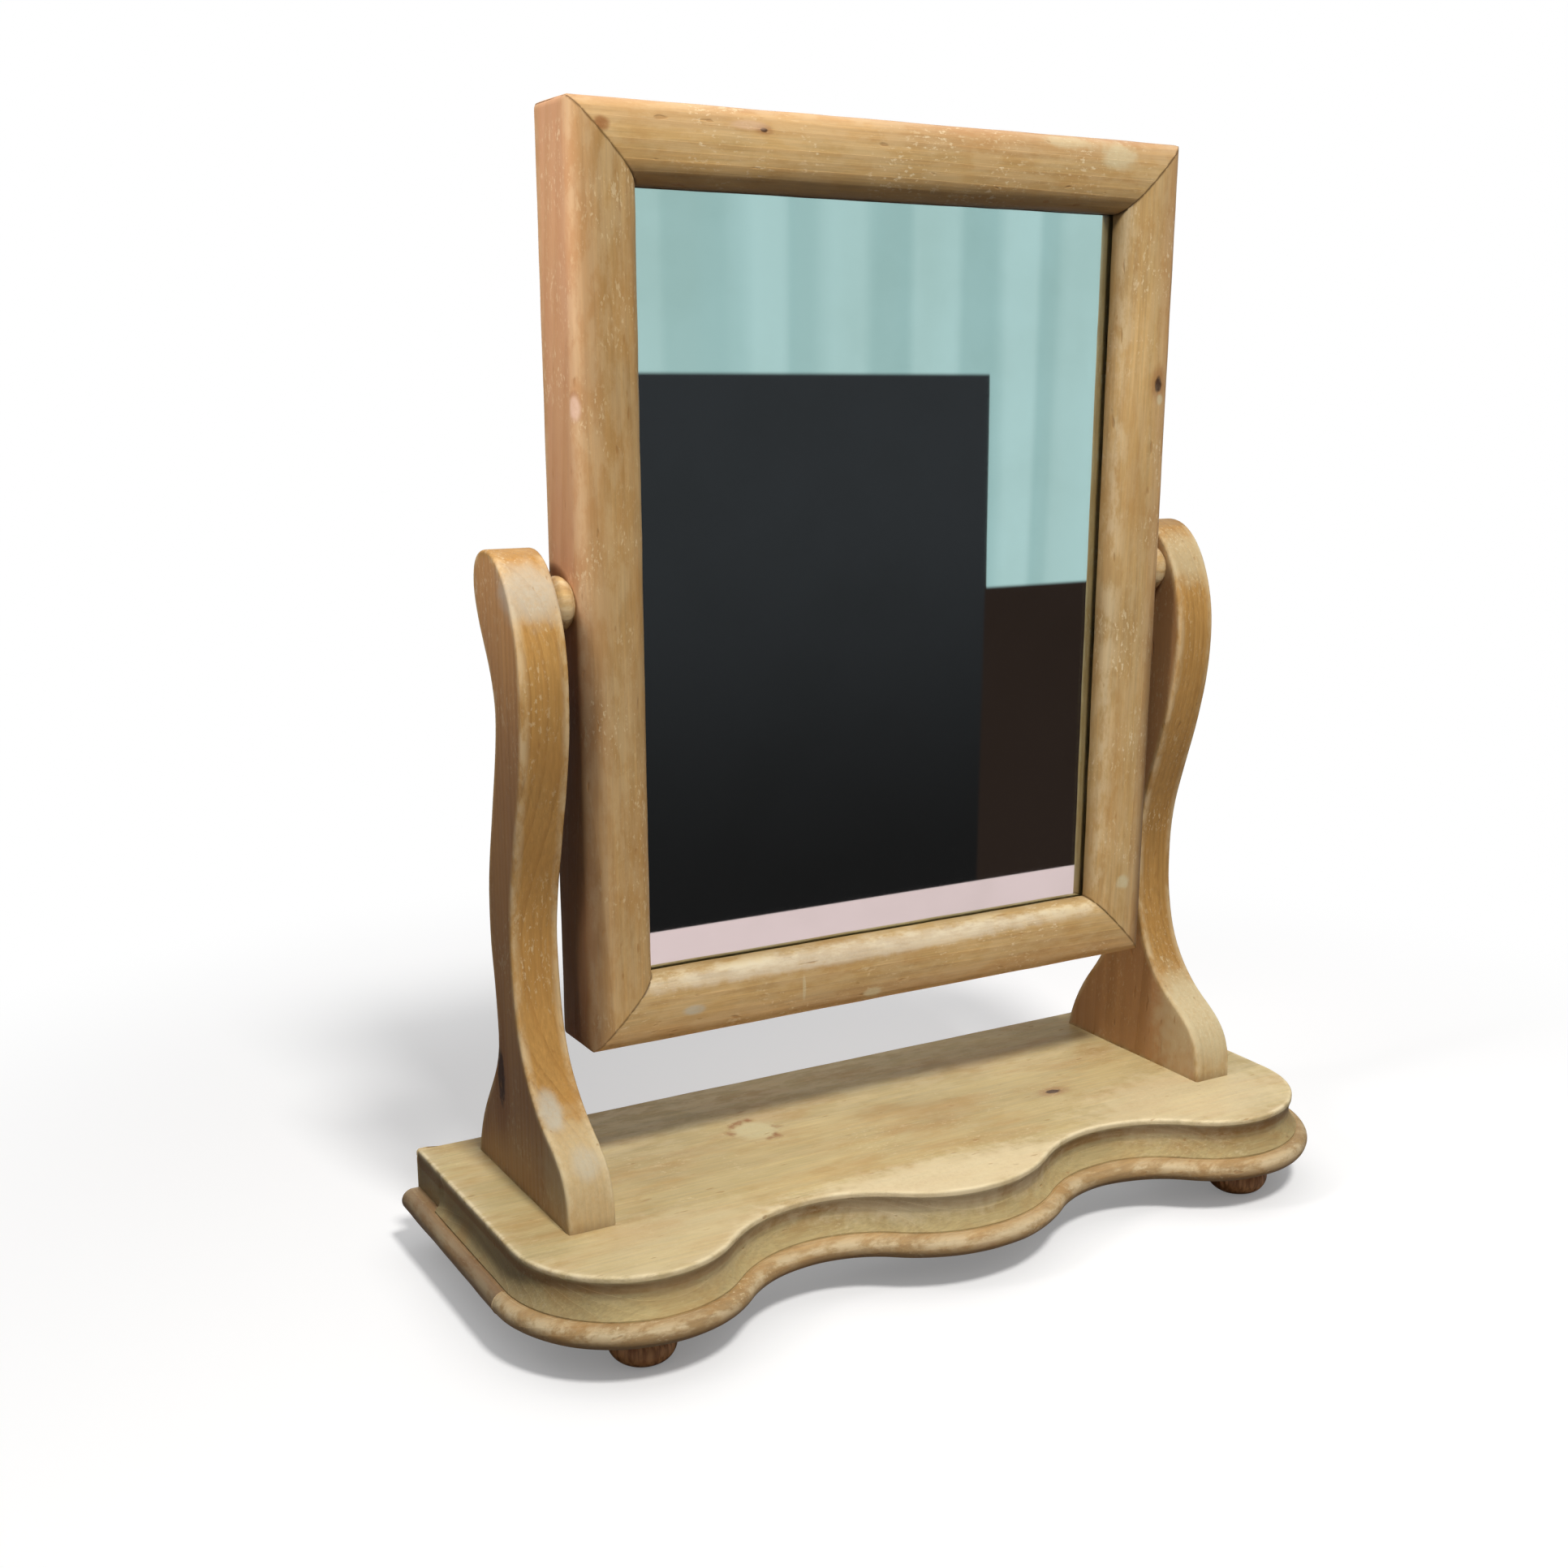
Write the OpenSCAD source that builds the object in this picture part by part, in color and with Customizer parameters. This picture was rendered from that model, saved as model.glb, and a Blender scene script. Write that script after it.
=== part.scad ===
// Swing toilet mirror for a dressing table.
// A cushion-moulded frame turns on two wooden pivots between two S-shaped
// uprights, which stand on a serpentine-fronted base with four bun feet.
// X is the width, -Y the front and Z is up. The origin is on the floor, at the
// middle of the object's width and depth.

/* [Base] */
// Width of the base board at its top edge
base_w = 581; // [520:1:660]
// Depth of the base board from its back edge to the front of its corner lobes
base_depth = 230; // [215:1:260]
// Thickness of the base board
board_t = 25.5; // [22:0.5:32]
// Radius of the rounded corner lobes in plan
lobe_r = 70; // [62:1:78]
// Distance from the middle to the hollow between lobe and middle swell
hollow_x = 112.5; // [100:0.5:125]
// How far the hollow lies behind the front of the lobes
hollow_back = 41; // [25:0.5:48]
// How far the middle swell lies behind the front of the lobes
swell_back = 3.5; // [0:0.5:12]
// Height of the square edge above the cove
edge_h = 4; // [2:0.5:6]
// How far the cove cuts in behind the square edge
cove_in = 1.5; // [0.5:0.1:3]
// How far the foot of the cove flares out past the square edge
cove_out = 4.5; // [3:0.1:6]
// Height of the thin edge under the cove
cove_foot_h = 1; // [0.5:0.1:2]
// Length of the square block left at the back of each side cove
stop_len = 39; // [25:1:60]
// Length over which the cove slopes out to that block
stop_slope = 3; // [1:0.5:8]

/* [Plinth moulding] */
// Thickness of the plinth strips under the board
plinth_t = 15; // [12:0.5:16]
// How far the rounded edge of the plinth stands out from the board
lip = 12.5; // [12:0.5:16]
// Width of the plinth's side strips
plinth_side_w = 100; // [85:1:120]
// Width of the plinth's back strip
plinth_back_w = 45; // [35:1:60]

/* [Feet] */
// Height of the bun feet under the plinth
foot_h = 24.5; // [18:0.5:32]
// Greatest diameter of a bun foot
foot_d = 41; // [34:0.5:48]
// Distance of the feet's centres from the middle
foot_x = 229; // [215:1:250]
// Distance of the front feet's centres behind the front of the lobes
foot_front_in = 27; // [24:1:40]
// Height of the collar above a foot's bun
collar_h = 3; // [2:0.5:5]
// Diameter of the collar above a foot's bun
collar_d = 29; // [24:0.5:34]
// Distance of the back feet's centres from the back edge
foot_back_in = 27; // [24:1:40]
// Diameter of the tenon that holds a foot in the plinth
foot_tenon_d = 14; // [10:0.5:18]

/* [Uprights] */
// Thickness of an upright
upright_t = 30; // [24:0.5:34]
// Height of the pivots above the base board
pivot_h = 354.5; // [350:0.5:400]
// Length of an upright's foot in front of the pivot
toe_len = 74; // [68:0.5:90]
// Length of an upright's foot behind the pivot
heel_len = 70.5; // [62:0.5:80]
// Height of the upright's head above the pivot
head_h = 31; // [28:0.5:40]
// Radius of the rounded arris along an upright's edges
arris = 1.6; // [0.8:0.1:2.5]

/* [Mirror frame] */
// Width of the mirror frame
frame_w = 426; // [400:1:470]
// Height of the mirror frame
frame_h = 538.5; // [480:0.5:560]
// Distance from the frame's back face to the pivots
side_mid = 23.5; // [21:0.5:25]
// Width of the frame moulding
mould_w = 43.5; // [40:0.5:47]
// Greatest thickness of the frame moulding
mould_t = 47; // [46:0.5:54]
// Radius of the moulding's outer front edge
outer_r = 9.5; // [6:0.5:12]
// Radius of the moulding's inner front edge
inner_r = 15; // [11:0.5:16]
// Radius of the crown across the moulding's front
crown_r = 60; // [45:1:90]
// Distance of the crown's crest from the frame's outer edge
crown_u = 20; // [16:0.5:24]
// Depth of the rebate that holds the glass
rebate_d = 30; // [27:0.5:31]
// Width of the rebate that holds the glass
rebate_w = 5.5; // [4:0.5:8]
// Distance from the frame's back face to the back edge of the base
frame_in = 65; // [60:0.5:90]

/* [Glass and back] */
// Thickness of the mirror glass
glass_t = 3; // [2:0.1:4]
// Thickness of the silvering and its backing paint
silver_t = 0.3; // [0.2:0.05:0.5]
// Gap between the glass edge and the wall of the rebate
glass_gap = 0.5; // [0.3:0.1:1]
// Thickness of the backboard
backboard_t = 6; // [4:0.5:8]
// How far the backboard laps onto the frame past the rebate
backboard_lap = 12; // [8:0.5:18]
// Width of the chamfer round the backboard's outer face
backboard_bevel = 4; // [2:0.5:5]

/* [Pivots] */
// Gap between an upright and the frame, filled by the turned boss
pivot_gap = 12; // [8:0.5:14]
// Diameter of the turned boss
boss_d = 32; // [28:0.5:36]
// Diameter of the pivot pin
pin_d = 12; // [8:0.5:14]
// Depth of the pin in the upright
pin_in_upright = 18; // [14:0.5:20]
// Depth of the pin in the stile
pin_in_stile = 28; // [18:0.5:32]

/* [Fasteners] */
// Shank diameter of the screws that hold the uprights
upright_screw_d = 5; // [4:0.5:6]
// Length of the screws that hold the uprights
upright_screw_len = 58; // [45:1:60]
// Distance of an upright's first screw behind the front of its toe
toe_screw_in = 30; // [27:1:36]
// Distance of an upright's last screw in front of the back of its heel
heel_screw_in = 28; // [24:1:34]
// Shank diameter of the screws that hold the plinth
plinth_screw_d = 4; // [3:0.5:5]
// Length of the screws that hold the plinth
plinth_screw_len = 28; // [20:1:30]
// Distance between the two rows of screws in a side strip of the plinth
side_screw_gap = 50; // [40:1:60]
// Distance of a side strip's first screws behind its front end
side_screw_front = 35; // [28:1:42]
// Distance of a side strip's last screws in front of its back end
side_screw_back = 62; // [55:1:70]
// Distance between the two screws beside a hollow, in the front strip
front_screw_gap = 84; // [76:1:92]
// Distance of the front strip's screws from its back edge
front_screw_in = 15; // [12:1:18]
// Distance between the two screws of the back strip
rear_screw_gap = 180; // [120:1:260]
// Shank diameter of the screws that hold the backboard
back_screw_d = 3; // [2.5:0.5:4]
// Length of the screws that hold the backboard
back_screw_len = 18; // [12:1:20]
// Number of screws along each side of the backboard
back_screw_count = 4; // [3:1:6]

/* [Hidden] */
// Clearances
run_gap = 0.05;     // pin to bore, where it turns
face_gap = 0.2;     // boss to upright, face to face
glue_gap = 0.03;    // glued pegs, keys and driven screws
over = 1;           // how far a cutter runs past the face that it opens
$fn = 64;

// Heights of the stand, from the floor up
plinth_z = foot_h;
board_z = plinth_z + plinth_t;
top_z = board_z + board_t;
pivot_z = top_z + pivot_h;

// Places in depth: the whole depth is the board's with the lip in front
back_y = (base_depth + lip) / 2;
lobe_y = back_y - base_depth;
frame_y = back_y - frame_in;
pivot_y = frame_y - side_mid;

// Places across the width
stile_x = frame_w / 2;
upright_x = stile_x + pivot_gap;
upright_mid = upright_x + upright_t / 2;

// Plan of the serpentine front: three arcs, each tangent to the next
half_w = base_w / 2;
lobe_c = [half_w - lobe_r, lobe_y + lobe_r];
hollow_y = lobe_y + hollow_back;
swell_y = lobe_y + swell_back;
lobe_dx = lobe_c.x - hollow_x;
lobe_dy = lobe_c.y - hollow_y;
hollow_r = (lobe_dx * lobe_dx + lobe_dy * lobe_dy - lobe_r * lobe_r) / (2 * (lobe_r - lobe_dy));
hollow_c = [hollow_x, hollow_y - hollow_r];
swell_dy = swell_y - hollow_c.y;
swell_r = (hollow_x * hollow_x + swell_dy * swell_dy - hollow_r * hollow_r)
    / (2 * (hollow_r - swell_dy));
swell_c = [0, swell_y + swell_r];
to_lobe = atan2(lobe_c.y - hollow_c.y, lobe_c.x - hollow_c.x);
to_swell = atan2(swell_c.y - hollow_c.y, swell_c.x - hollow_c.x);
rim = 18;           // how far the swept rim reaches into the board
rim_core = 8;       // how far the plate inside the rim stays behind the edge
lobe_steps = 26;
hollow_steps = 15;
swell_steps = 7;

// Section of the cove: one circle through the square edge, the throat and the foot
cove_h = board_t - edge_h - cove_foot_h;
cove_z = cove_foot_h + (cove_h * (cove_in + cove_out)
    - sqrt(cove_in * (cove_in + cove_out) * (cove_h * cove_h + cove_out * cove_out))) / cove_out;
cove_x = (pow(board_t - edge_h - cove_z, 2) - cove_in * cove_in) / (2 * cove_in);
cove_r = cove_x + cove_in;
cove_a0 = 180 - asin((board_t - edge_h - cove_z) / cove_r);
cove_a1 = 180 + asin((cove_z - cove_foot_h) / cove_r);

// Section of the frame moulding: a crown between two rounds, tangent to both
crown_c = [crown_u, mould_t - crown_r];
outer_c = [outer_r, crown_c.y + sqrt(pow(crown_r - outer_r, 2) - pow(crown_u - outer_r, 2))];
inner_u = mould_w - inner_r;
inner_c = [inner_u, crown_c.y + sqrt(pow(crown_r - inner_r, 2) - pow(inner_u - crown_u, 2))];
outer_a = atan2(outer_c.y - crown_c.y, outer_c.x - crown_c.x);
inner_a = atan2(inner_c.y - crown_c.y, inner_c.x - crown_c.x);
crown_steps = 6;

// The plinth's strips and the feet under them
plinth_front_y = lobe_c.y;
plinth_inner_x = half_w - plinth_side_w;
tenon_cover = 2;    // wood of the plinth left over a foot's tenon
tenon_l = plinth_t - tenon_cover;
foot_front_y = lobe_y + foot_front_in;
foot_back_y = back_y - foot_back_in;

// Stations round an upright's outline, up its front edge, over the head and down
// its back edge: [place, heading, reach before, reach after, steps from the last].
// Place is [depth behind the pivot's line, height above the board]; the reaches
// say how far the outline keeps to the heading on either side of the station.
head_z = pivot_h + head_h;
upright_stations = [
    [[-toe_len, 0], 90, 0, 30, 0],                      // front of the toe
    [[30 - toe_len, 51], 33, 24, 42, 5],                // instep
    [[-0.5, 155], 90, 45, 50, 8],                       // ankle
    [[-30, pivot_h - 45], 90, 65, 40, 8],               // belly under the head
    [[16.5, head_z], 0, 25, 14, 9],                     // crest of the head
    [[37, head_z - 22], -90, 14, 20, 6],                // back of the head
    [[11, pivot_h - 62], -90, 27, 33, 8],               // waist under the head
    [[35, 165], -90, 45, 25, 8],                        // back belly
    [[28.5, 92], -90, 23, 34, 5],                       // back ankle
    [[heel_len, 0], -79, 46, 0, 6],                     // back of the heel
];

// Hidden tongues across the frame's mitres
key_l = 34;     // length along the joint
key_w = 16;     // width across the joint
key_t = 4;      // thickness
key_in = 8;     // gap from the frame's outer corner to the key
key_y = 20;     // distance from the frame's back face

// The glass in its rebate, the blocks behind it and the backboard over them
rebate_clear_w = frame_w - 2 * (mould_w - rebate_w);
rebate_clear_h = frame_h - 2 * (mould_w - rebate_w);
glass_w = rebate_clear_w - 2 * glass_gap;
glass_h = rebate_clear_h - 2 * glass_gap;
glass_back_y = frame_y - rebate_d + glass_t;
block_l = 45;       // length of a glass block
block_d = 12;       // how far a glass block reaches in from the rebate's wall
block_nose = 2;     // its thickness at its thin edge
block_flat = 2;     // width of its flat back, beside the wall
block_gap = 12;     // from its back to the backboard
block_t = rebate_d - glass_t - silver_t - block_gap;
rail_share = 0.27;      // place of the blocks along a rail, from its middle
stile_share = 0.33;     // place of the outer blocks along a stile
backboard_w = rebate_clear_w + 2 * backboard_lap;
backboard_h = rebate_clear_h + 2 * backboard_lap;

// Unit vector at angle a
function heading(a) = [cos(a), sin(a)];

// Points along an arc from angle a0 to a1 about c
function arc(c, r, a0, a1, n) = [for (i = [0:n]) c + r * heading(a0 + (a1 - a0) * i / n)];

// Points along a cubic curve, without its first point
function cubic(p, n) = [for (i = [1:n]) let (t = i / n, s = 1 - t)
    s * s * s * p[0] + 3 * s * s * t * p[1] + 3 * s * t * t * p[2] + t * t * t * p[3]];

// Section of the board's edge: [outward from the square edge, up from the underside]
board_section = concat(
    [[-rim, 0], [cove_out, 0]],
    arc([cove_x, cove_z], cove_r, cove_a1, cove_a0, 10),
    [[0, board_t], [-rim, board_t]]
);

// The same section where the cove isn't cut, with as many points
block_section = [for (e = board_section) [e.x > -rim ? 0 : e.x, e.y]];

// Section of the plinth's rounded edge
plinth_section = concat(
    [[-rim, 0]],
    arc([lip - plinth_t / 2, plinth_t / 2], plinth_t / 2, -90, 90, 8),
    [[-rim, plinth_t]]
);

// Right half of the serpentine edge as [place, outward direction], from the
// lobe's side round to the middle of the swell
half_edge = concat(
    [for (i = [0:lobe_steps]) let (n = heading((to_lobe - 180) * i / lobe_steps))
        [lobe_c + lobe_r * n, n]],
    [for (i = [1:hollow_steps]) let (n = heading(to_lobe + (to_swell - to_lobe) * i / hollow_steps))
        [hollow_c + hollow_r * n, -n]],
    [for (i = [1:swell_steps]) let (n = -heading(to_swell + (90 - to_swell) * i / swell_steps))
        [swell_c + swell_r * n, n]]
);

// The whole edge, from y on the right side round the front to y on the left
function edge_path(y) = concat(
    y > lobe_c.y ? [[[half_w, y], [1, 0]]] : [],
    half_edge,
    [for (i = [len(half_edge) - 2:-1:0]) let (q = half_edge[i]) [[-q[0].x, q[0].y], [-q[1].x, q[1].y]]],
    y > lobe_c.y ? [[[-half_w, y], [-1, 0]]] : []
);

// Section placed at q, a place on the edge with its outward direction
function ring(section, q) = [for (e = section) [each q[0] + e.x * q[1], e.y]];

// Wall between two rings, split where its corners aren't in one plane
function wall(p, a, b, c, d) =
    abs((p[d] - p[a]) * cross(p[b] - p[a], p[c] - p[a])) < 1e-6 ? [[a, b, c, d]]
        : [[a, b, c], [a, c, d]];

// Serpentine slab: a solid rim through its rings, and a plate inside that rim
module slab(rings, path, t) {
    m = len(rings[0]);
    last = (len(rings) - 1) * m;
    points = [for (r = rings) each r];
    walls = [for (i = [0:len(rings) - 2], j = [0:m - 1]) let (k = (j + 1) % m)
        each wall(points, i * m + j, (i + 1) * m + j, (i + 1) * m + k, i * m + k)];
    polyhedron(points, concat(
        [[for (j = [0:m - 1]) j]], walls, [[for (j = [m - 1:-1:0]) last + j]]
    ), convexity = 6);
    linear_extrude(t) polygon([for (q = path) q[0] - rim_core * q[1]]);
}

// Countersunk wood screw pointing up, its head's flat face at z = 0
module wood_screw(d, length, gap = 0) {
    shank_d = d + 2 * gap;
    head_d = 2 * d + 2 * gap;
    head_t = 0.55 * d;
    tip_d = 0.3 * d + 2 * gap;
    tip_l = 0.2 * length;
    cylinder(d1 = head_d, d2 = shank_d, h = head_t, $fn = 24);
    cylinder(d = shank_d, h = length - tip_l, $fn = 24);
    translate([0, 0, length - tip_l]) cylinder(d1 = shank_d, d2 = tip_d, h = tip_l + gap, $fn = 24);
}

// Screws that hold the uprights, driven up from under the board
module upright_screw_set(gap = 0) {
    first = toe_screw_in - toe_len;
    last = heel_len - heel_screw_in;
    for (side = [-1, 1], y = [first, (first + last) / 2, last])
        translate([side * upright_mid, pivot_y + y, board_z])
            wood_screw(upright_screw_d, upright_screw_len, gap);
}

// Screws that hold the plinth strips, driven up from under them
module plinth_screw_set(gap = 0) {
    strip_mid = half_w - plinth_side_w / 2;
    side_x = [strip_mid - side_screw_gap / 2, strip_mid + side_screw_gap / 2];
    side_y = [plinth_front_y + side_screw_front, back_y - side_screw_back];
    front_x = [hollow_x - front_screw_gap / 2, hollow_x + front_screw_gap / 2];
    places = concat(
        [for (x = side_x, y = side_y) [x, y]],
        [for (x = front_x) [x, plinth_front_y - front_screw_in]],
        [[rear_screw_gap / 2, back_y - plinth_back_w / 2]]
    );
    for (side = [-1, 1], p = places)
        translate([side * p.x, p.y, plinth_z]) wood_screw(plinth_screw_d, plinth_screw_len, gap);
}

// Solid board with its coved serpentine edge. The cove stops short of the
// back, and slopes out there to the square block that is left at each side.
function block_ring(side, y) = ring(block_section, [[side * half_w, y], [side, 0]]);

module base_board() {
    block_y = back_y - stop_len;
    rings = concat(
        [block_ring(1, back_y), block_ring(1, block_y)],
        [for (q = edge_path(block_y - stop_slope)) ring(board_section, q)],
        [block_ring(-1, block_y), block_ring(-1, back_y)]
    );
    color("burlywood") difference() {
        translate([0, 0, board_z]) slab(rings, edge_path(back_y), board_t);
        upright_screw_set(glue_gap);
        plinth_screw_set(glue_gap);
    }
}

// Cuts the screw holes and the sockets for the feet in a strip of the plinth
module plinth_strip() {
    color("tan") difference() {
        children();
        plinth_screw_set(glue_gap);
        foot_tenons(glue_gap);
    }
}

module plinth_front() {
    path = edge_path(plinth_front_y);
    plinth_strip() translate([0, 0, plinth_z])
        slab([for (q = path) ring(plinth_section, q)], path, plinth_t);
}

// Straight strip along one side, with the same rounded edge as the front
module plinth_side(side) {
    edge = arc([lip - plinth_t / 2, plinth_t / 2], plinth_t / 2, -90, 90, 16);
    plinth_strip() translate([side * half_w, side < 0 ? plinth_front_y : back_y, plinth_z])
        rotate([90, 0, side < 0 ? 180 : 0]) linear_extrude(back_y - plinth_front_y)
            polygon(concat([[-plinth_side_w, 0]], edge, [[-plinth_side_w, plinth_t]]));
}

module plinth_left() { plinth_side(-1); }
module plinth_right() { plinth_side(1); }

module plinth_back() {
    plinth_strip() translate([-plinth_inner_x, back_y - plinth_back_w, plinth_z])
        cube([2 * plinth_inner_x, plinth_back_w, plinth_t]);
}

module plinth_screws() {
    color("dimgray") plinth_screw_set();
}

// Tenons of all four feet, as cutters for the plinth
module foot_tenons(gap) {
    for (x = [-foot_x, foot_x], y = [foot_front_y, foot_back_y])
        translate([x, y, plinth_z - over])
            cylinder(d = foot_tenon_d + 2 * gap, h = over + tenon_l + gap);
}

// Turned bun foot with a collar and a tenon
module bun_foot(x, y) {
    collar_round = 1.5;     // bevel under the collar's edge
    bun_sunk = 1;           // how far the bun's round runs on behind the collar
    bun_r = (foot_h - collar_h) / 2 + bun_sunk;
    belly = foot_d / 2 - bun_r;
    color([0.36, 0.2, 0.12]) translate([x, y, 0]) rotate_extrude() polygon(concat(
        [[0, 0]],
        arc([belly, bun_r], bun_r, -90, 60, 14),
        [
            [collar_d / 2 - collar_round, foot_h - collar_h],
            [collar_d / 2, foot_h - collar_h + collar_round],
            [collar_d / 2, foot_h], [foot_tenon_d / 2, foot_h],
            [foot_tenon_d / 2, foot_h + tenon_l], [0, foot_h + tenon_l],
        ]
    ));
}

module foot_front_left() { bun_foot(-foot_x, foot_front_y); }
module foot_front_right() { bun_foot(foot_x, foot_front_y); }
module foot_back_left() { bun_foot(-foot_x, foot_back_y); }
module foot_back_right() { bun_foot(foot_x, foot_back_y); }

// Smooth outline through the stations
function outline(stations) = [
    stations[0][0],
    for (i = [1:len(stations) - 1]) let (a = stations[i - 1], b = stations[i])
        each cubic([a[0], a[0] + a[3] * heading(a[1]), b[0] - b[2] * heading(b[1]), b[0]], b[4]),
];
upright_outline = outline(upright_stations);

// Outline drawn in by d along its normals, with its ends kept on the board
function inset(points, d) = let (last = len(points) - 1) [for (i = [0:last])
    let (
        before = points[max(i - 1, 0)],
        after = points[min(i + 1, last)],
        along = (after - before) / norm(after - before)
    )
    i == 0 ? [points[i].x + d, 0]
        : i == last ? [points[i].x - d, 0]
        : points[i] + d * [along.y, -along.x]];

// Upright as rings of its outline, drawn in where its arrises are rounded. Its
// flat faces are strips between the front edge and the back edge.
module upright_solid() {
    half = upright_t / 2;
    edge = [for (a = [0:30:90]) [half - arris * (1 - cos(a)), arris * (1 - sin(a))]];
    rings = concat([for (e = edge) [-e.x, e.y]], [for (i = [len(edge) - 1:-1:0]) edge[i]]);
    n = len(upright_outline);
    last = (len(rings) - 1) * n;
    points = [for (r = rings) each [for (p = inset(upright_outline, r.y)) [r.x, p.x, p.y]]];
    walls = [for (k = [0:len(rings) - 2], i = [0:n - 1]) let (j = (i + 1) % n)
        [k * n + i, (k + 1) * n + i, (k + 1) * n + j, k * n + j]];
    strips = [for (i = [0:n / 2 - 2]) [i, i + 1, n - 2 - i, n - 1 - i]];
    polyhedron(points, concat(
        strips, walls, [for (f = strips) [for (i = [3:-1:0]) last + f[i]]]
    ), convexity = 6);
}

// Upright with the blind bore that its pivot pin turns in
module upright(side) {
    color("peru") difference() {
        translate([side * upright_mid, pivot_y, top_z]) upright_solid();
        translate([side * (upright_x - over), pivot_y, pivot_z]) rotate([0, side * 90, 0])
            cylinder(d = pin_d + 2 * run_gap, h = over + pin_in_upright + face_gap);
        upright_screw_set(glue_gap);
    }
}

module left_upright() { upright(-1); }
module right_upright() { upright(1); }

module upright_screws() {
    color("dimgray") upright_screw_set();
}

// Section of the frame moulding: x from the outer edge, y forward from the back
frame_section = concat(
    [[0, 0]],
    arc(outer_c, outer_r, 180, outer_a, 6),
    [for (i = [1:crown_steps - 1])
        crown_c + crown_r * heading(outer_a + (inner_a - outer_a) * i / crown_steps)],
    arc(inner_c, inner_r, inner_a, 0, 8),
    [[mould_w, rebate_d], [mould_w - rebate_w, rebate_d], [mould_w - rebate_w, 0]]
);

// Moulding along one edge of the frame, mitred at both ends. It lies along X
// with its outer edge up; length is the frame's size along it.
module mitred_bar(length) {
    intersection() {
        rotate([90, 0, 90]) translate([0, 0, -length / 2]) linear_extrude(length)
            polygon([for (p = frame_section) [-p.y, -p.x]]);
        rotate([90, 0, 0]) linear_extrude(4 * mould_t, center = true) polygon([
            [-length / 2, 0], [length / 2, 0],
            [length / 2 - mould_w, -mould_w], [-length / 2 + mould_w, -mould_w],
        ]);
    }
}

// Places a bar: turn is its angle in the frame's plane, reach its distance
// from the frame's middle
module place_bar(turn, reach) {
    translate([0, frame_y, pivot_z]) rotate([0, turn, 0]) translate([0, 0, reach]) children();
}

// Hidden loose tongues across the four mitres
module mitre_key_set(gap = 0) {
    size = [key_w + 2 * gap, key_t + 2 * gap, key_l + 2 * gap];
    for (sx = [-1, 1], sz = [-1, 1])
        translate([sx * frame_w / 2, frame_y - key_y, pivot_z + sz * frame_h / 2])
            rotate([0, atan2(sx, sz), 0]) translate([0, 0, -key_in - key_l / 2])
                cube(size, center = true);
}

module top_rail() {
    color("burlywood") difference() {
        place_bar(0, frame_h / 2) mitred_bar(frame_w);
        mitre_key_set(glue_gap);
        back_screw_set(glue_gap);
    }
}

module bottom_rail() {
    color("burlywood") difference() {
        place_bar(180, frame_h / 2) mitred_bar(frame_w);
        mitre_key_set(glue_gap);
        back_screw_set(glue_gap);
    }
}

module stile(side) {
    color("burlywood") difference() {
        place_bar(side * 90, frame_w / 2) mitred_bar(frame_h);
        mitre_key_set(glue_gap);
        back_screw_set(glue_gap);
        translate([side * (stile_x + over), pivot_y, pivot_z]) rotate([0, -side * 90, 0])
            cylinder(d = pin_d + 2 * glue_gap, h = over + pin_in_stile + glue_gap);
    }
}

module left_stile() { stile(-1); }
module right_stile() { stile(1); }

module mitre_keys() {
    color("sienna") mitre_key_set();
}

// Flat sheet in the frame's plane, whose front face is at y
module sheet(w, h, t, y) {
    translate([-w / 2, y, pivot_z - h / 2]) cube([w, t, h]);
}

module mirror_glass() {
    color("lightcyan") sheet(glass_w, glass_h, glass_t, frame_y - rebate_d);
}

module silvering() {
    color("silver") sheet(glass_w, glass_h, silver_t, glass_back_y);
}

// Wedge glued against the rebate's wall, behind the glass. It lies along X
// with the wall above it.
module glass_block() {
    translate([-block_l / 2, 0, 0]) rotate([90, 0, 90]) linear_extrude(block_l)
        polygon([[0, 0], [0, -block_d], [block_nose, -block_d], [block_t, -block_flat], [block_t, 0]]);
}

module glass_blocks() {
    wall_y = glass_back_y + silver_t - frame_y;
    color("wheat") {
        for (turn = [0, 180], x = [-1, 1] * rail_share * frame_w)
            place_bar(turn, rebate_clear_h / 2) translate([x, wall_y, 0]) glass_block();
        for (turn = [-90, 90], z = [-1, 0, 1] * stile_share * frame_h)
            place_bar(turn, rebate_clear_w / 2) translate([z, wall_y, 0]) glass_block();
    }
}

// Countersunk screws through the backboard's margin into the frame
module back_screw_set(gap = 0) {
    x = backboard_w / 2 - backboard_lap / 2;
    z = backboard_h / 2 - backboard_lap / 2;
    corner_share = 0.9;     // how far up the side the last screw stands
    spacing = 2 * corner_share / (back_screw_count - 1);
    places = concat(
        [for (sx = [-1, 1], i = [0:back_screw_count - 1]) [sx * x, (i * spacing - corner_share) * z]],
        [for (sz = [-1, 1]) [0, sz * z]]
    );
    for (p = places)
        translate([p.x, frame_y + backboard_t, pivot_z + p.y]) rotate([90, 0, 0])
            wood_screw(back_screw_d, back_screw_len, gap);
}

// Cutter for the chamfer along one edge of the backboard
module bevel_cut(length) {
    depth = backboard_bevel / 2;
    translate([-length / 2 - over, 0, 0]) rotate([90, 0, 90]) linear_extrude(length + 2 * over)
        polygon([[over, over], [over, -backboard_bevel], [0, -backboard_bevel], [-depth, 0],
            [-depth, over]]);
}

module backboard() {
    color("tan") difference() {
        sheet(backboard_w, backboard_h, backboard_t, frame_y);
        for (turn = [0, 180]) place_bar(turn, backboard_h / 2)
            translate([0, backboard_t, 0]) bevel_cut(backboard_w);
        for (turn = [-90, 90]) place_bar(turn, backboard_w / 2)
            translate([0, backboard_t, 0]) bevel_cut(backboard_h);
        back_screw_set(glue_gap);
    }
}

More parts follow.
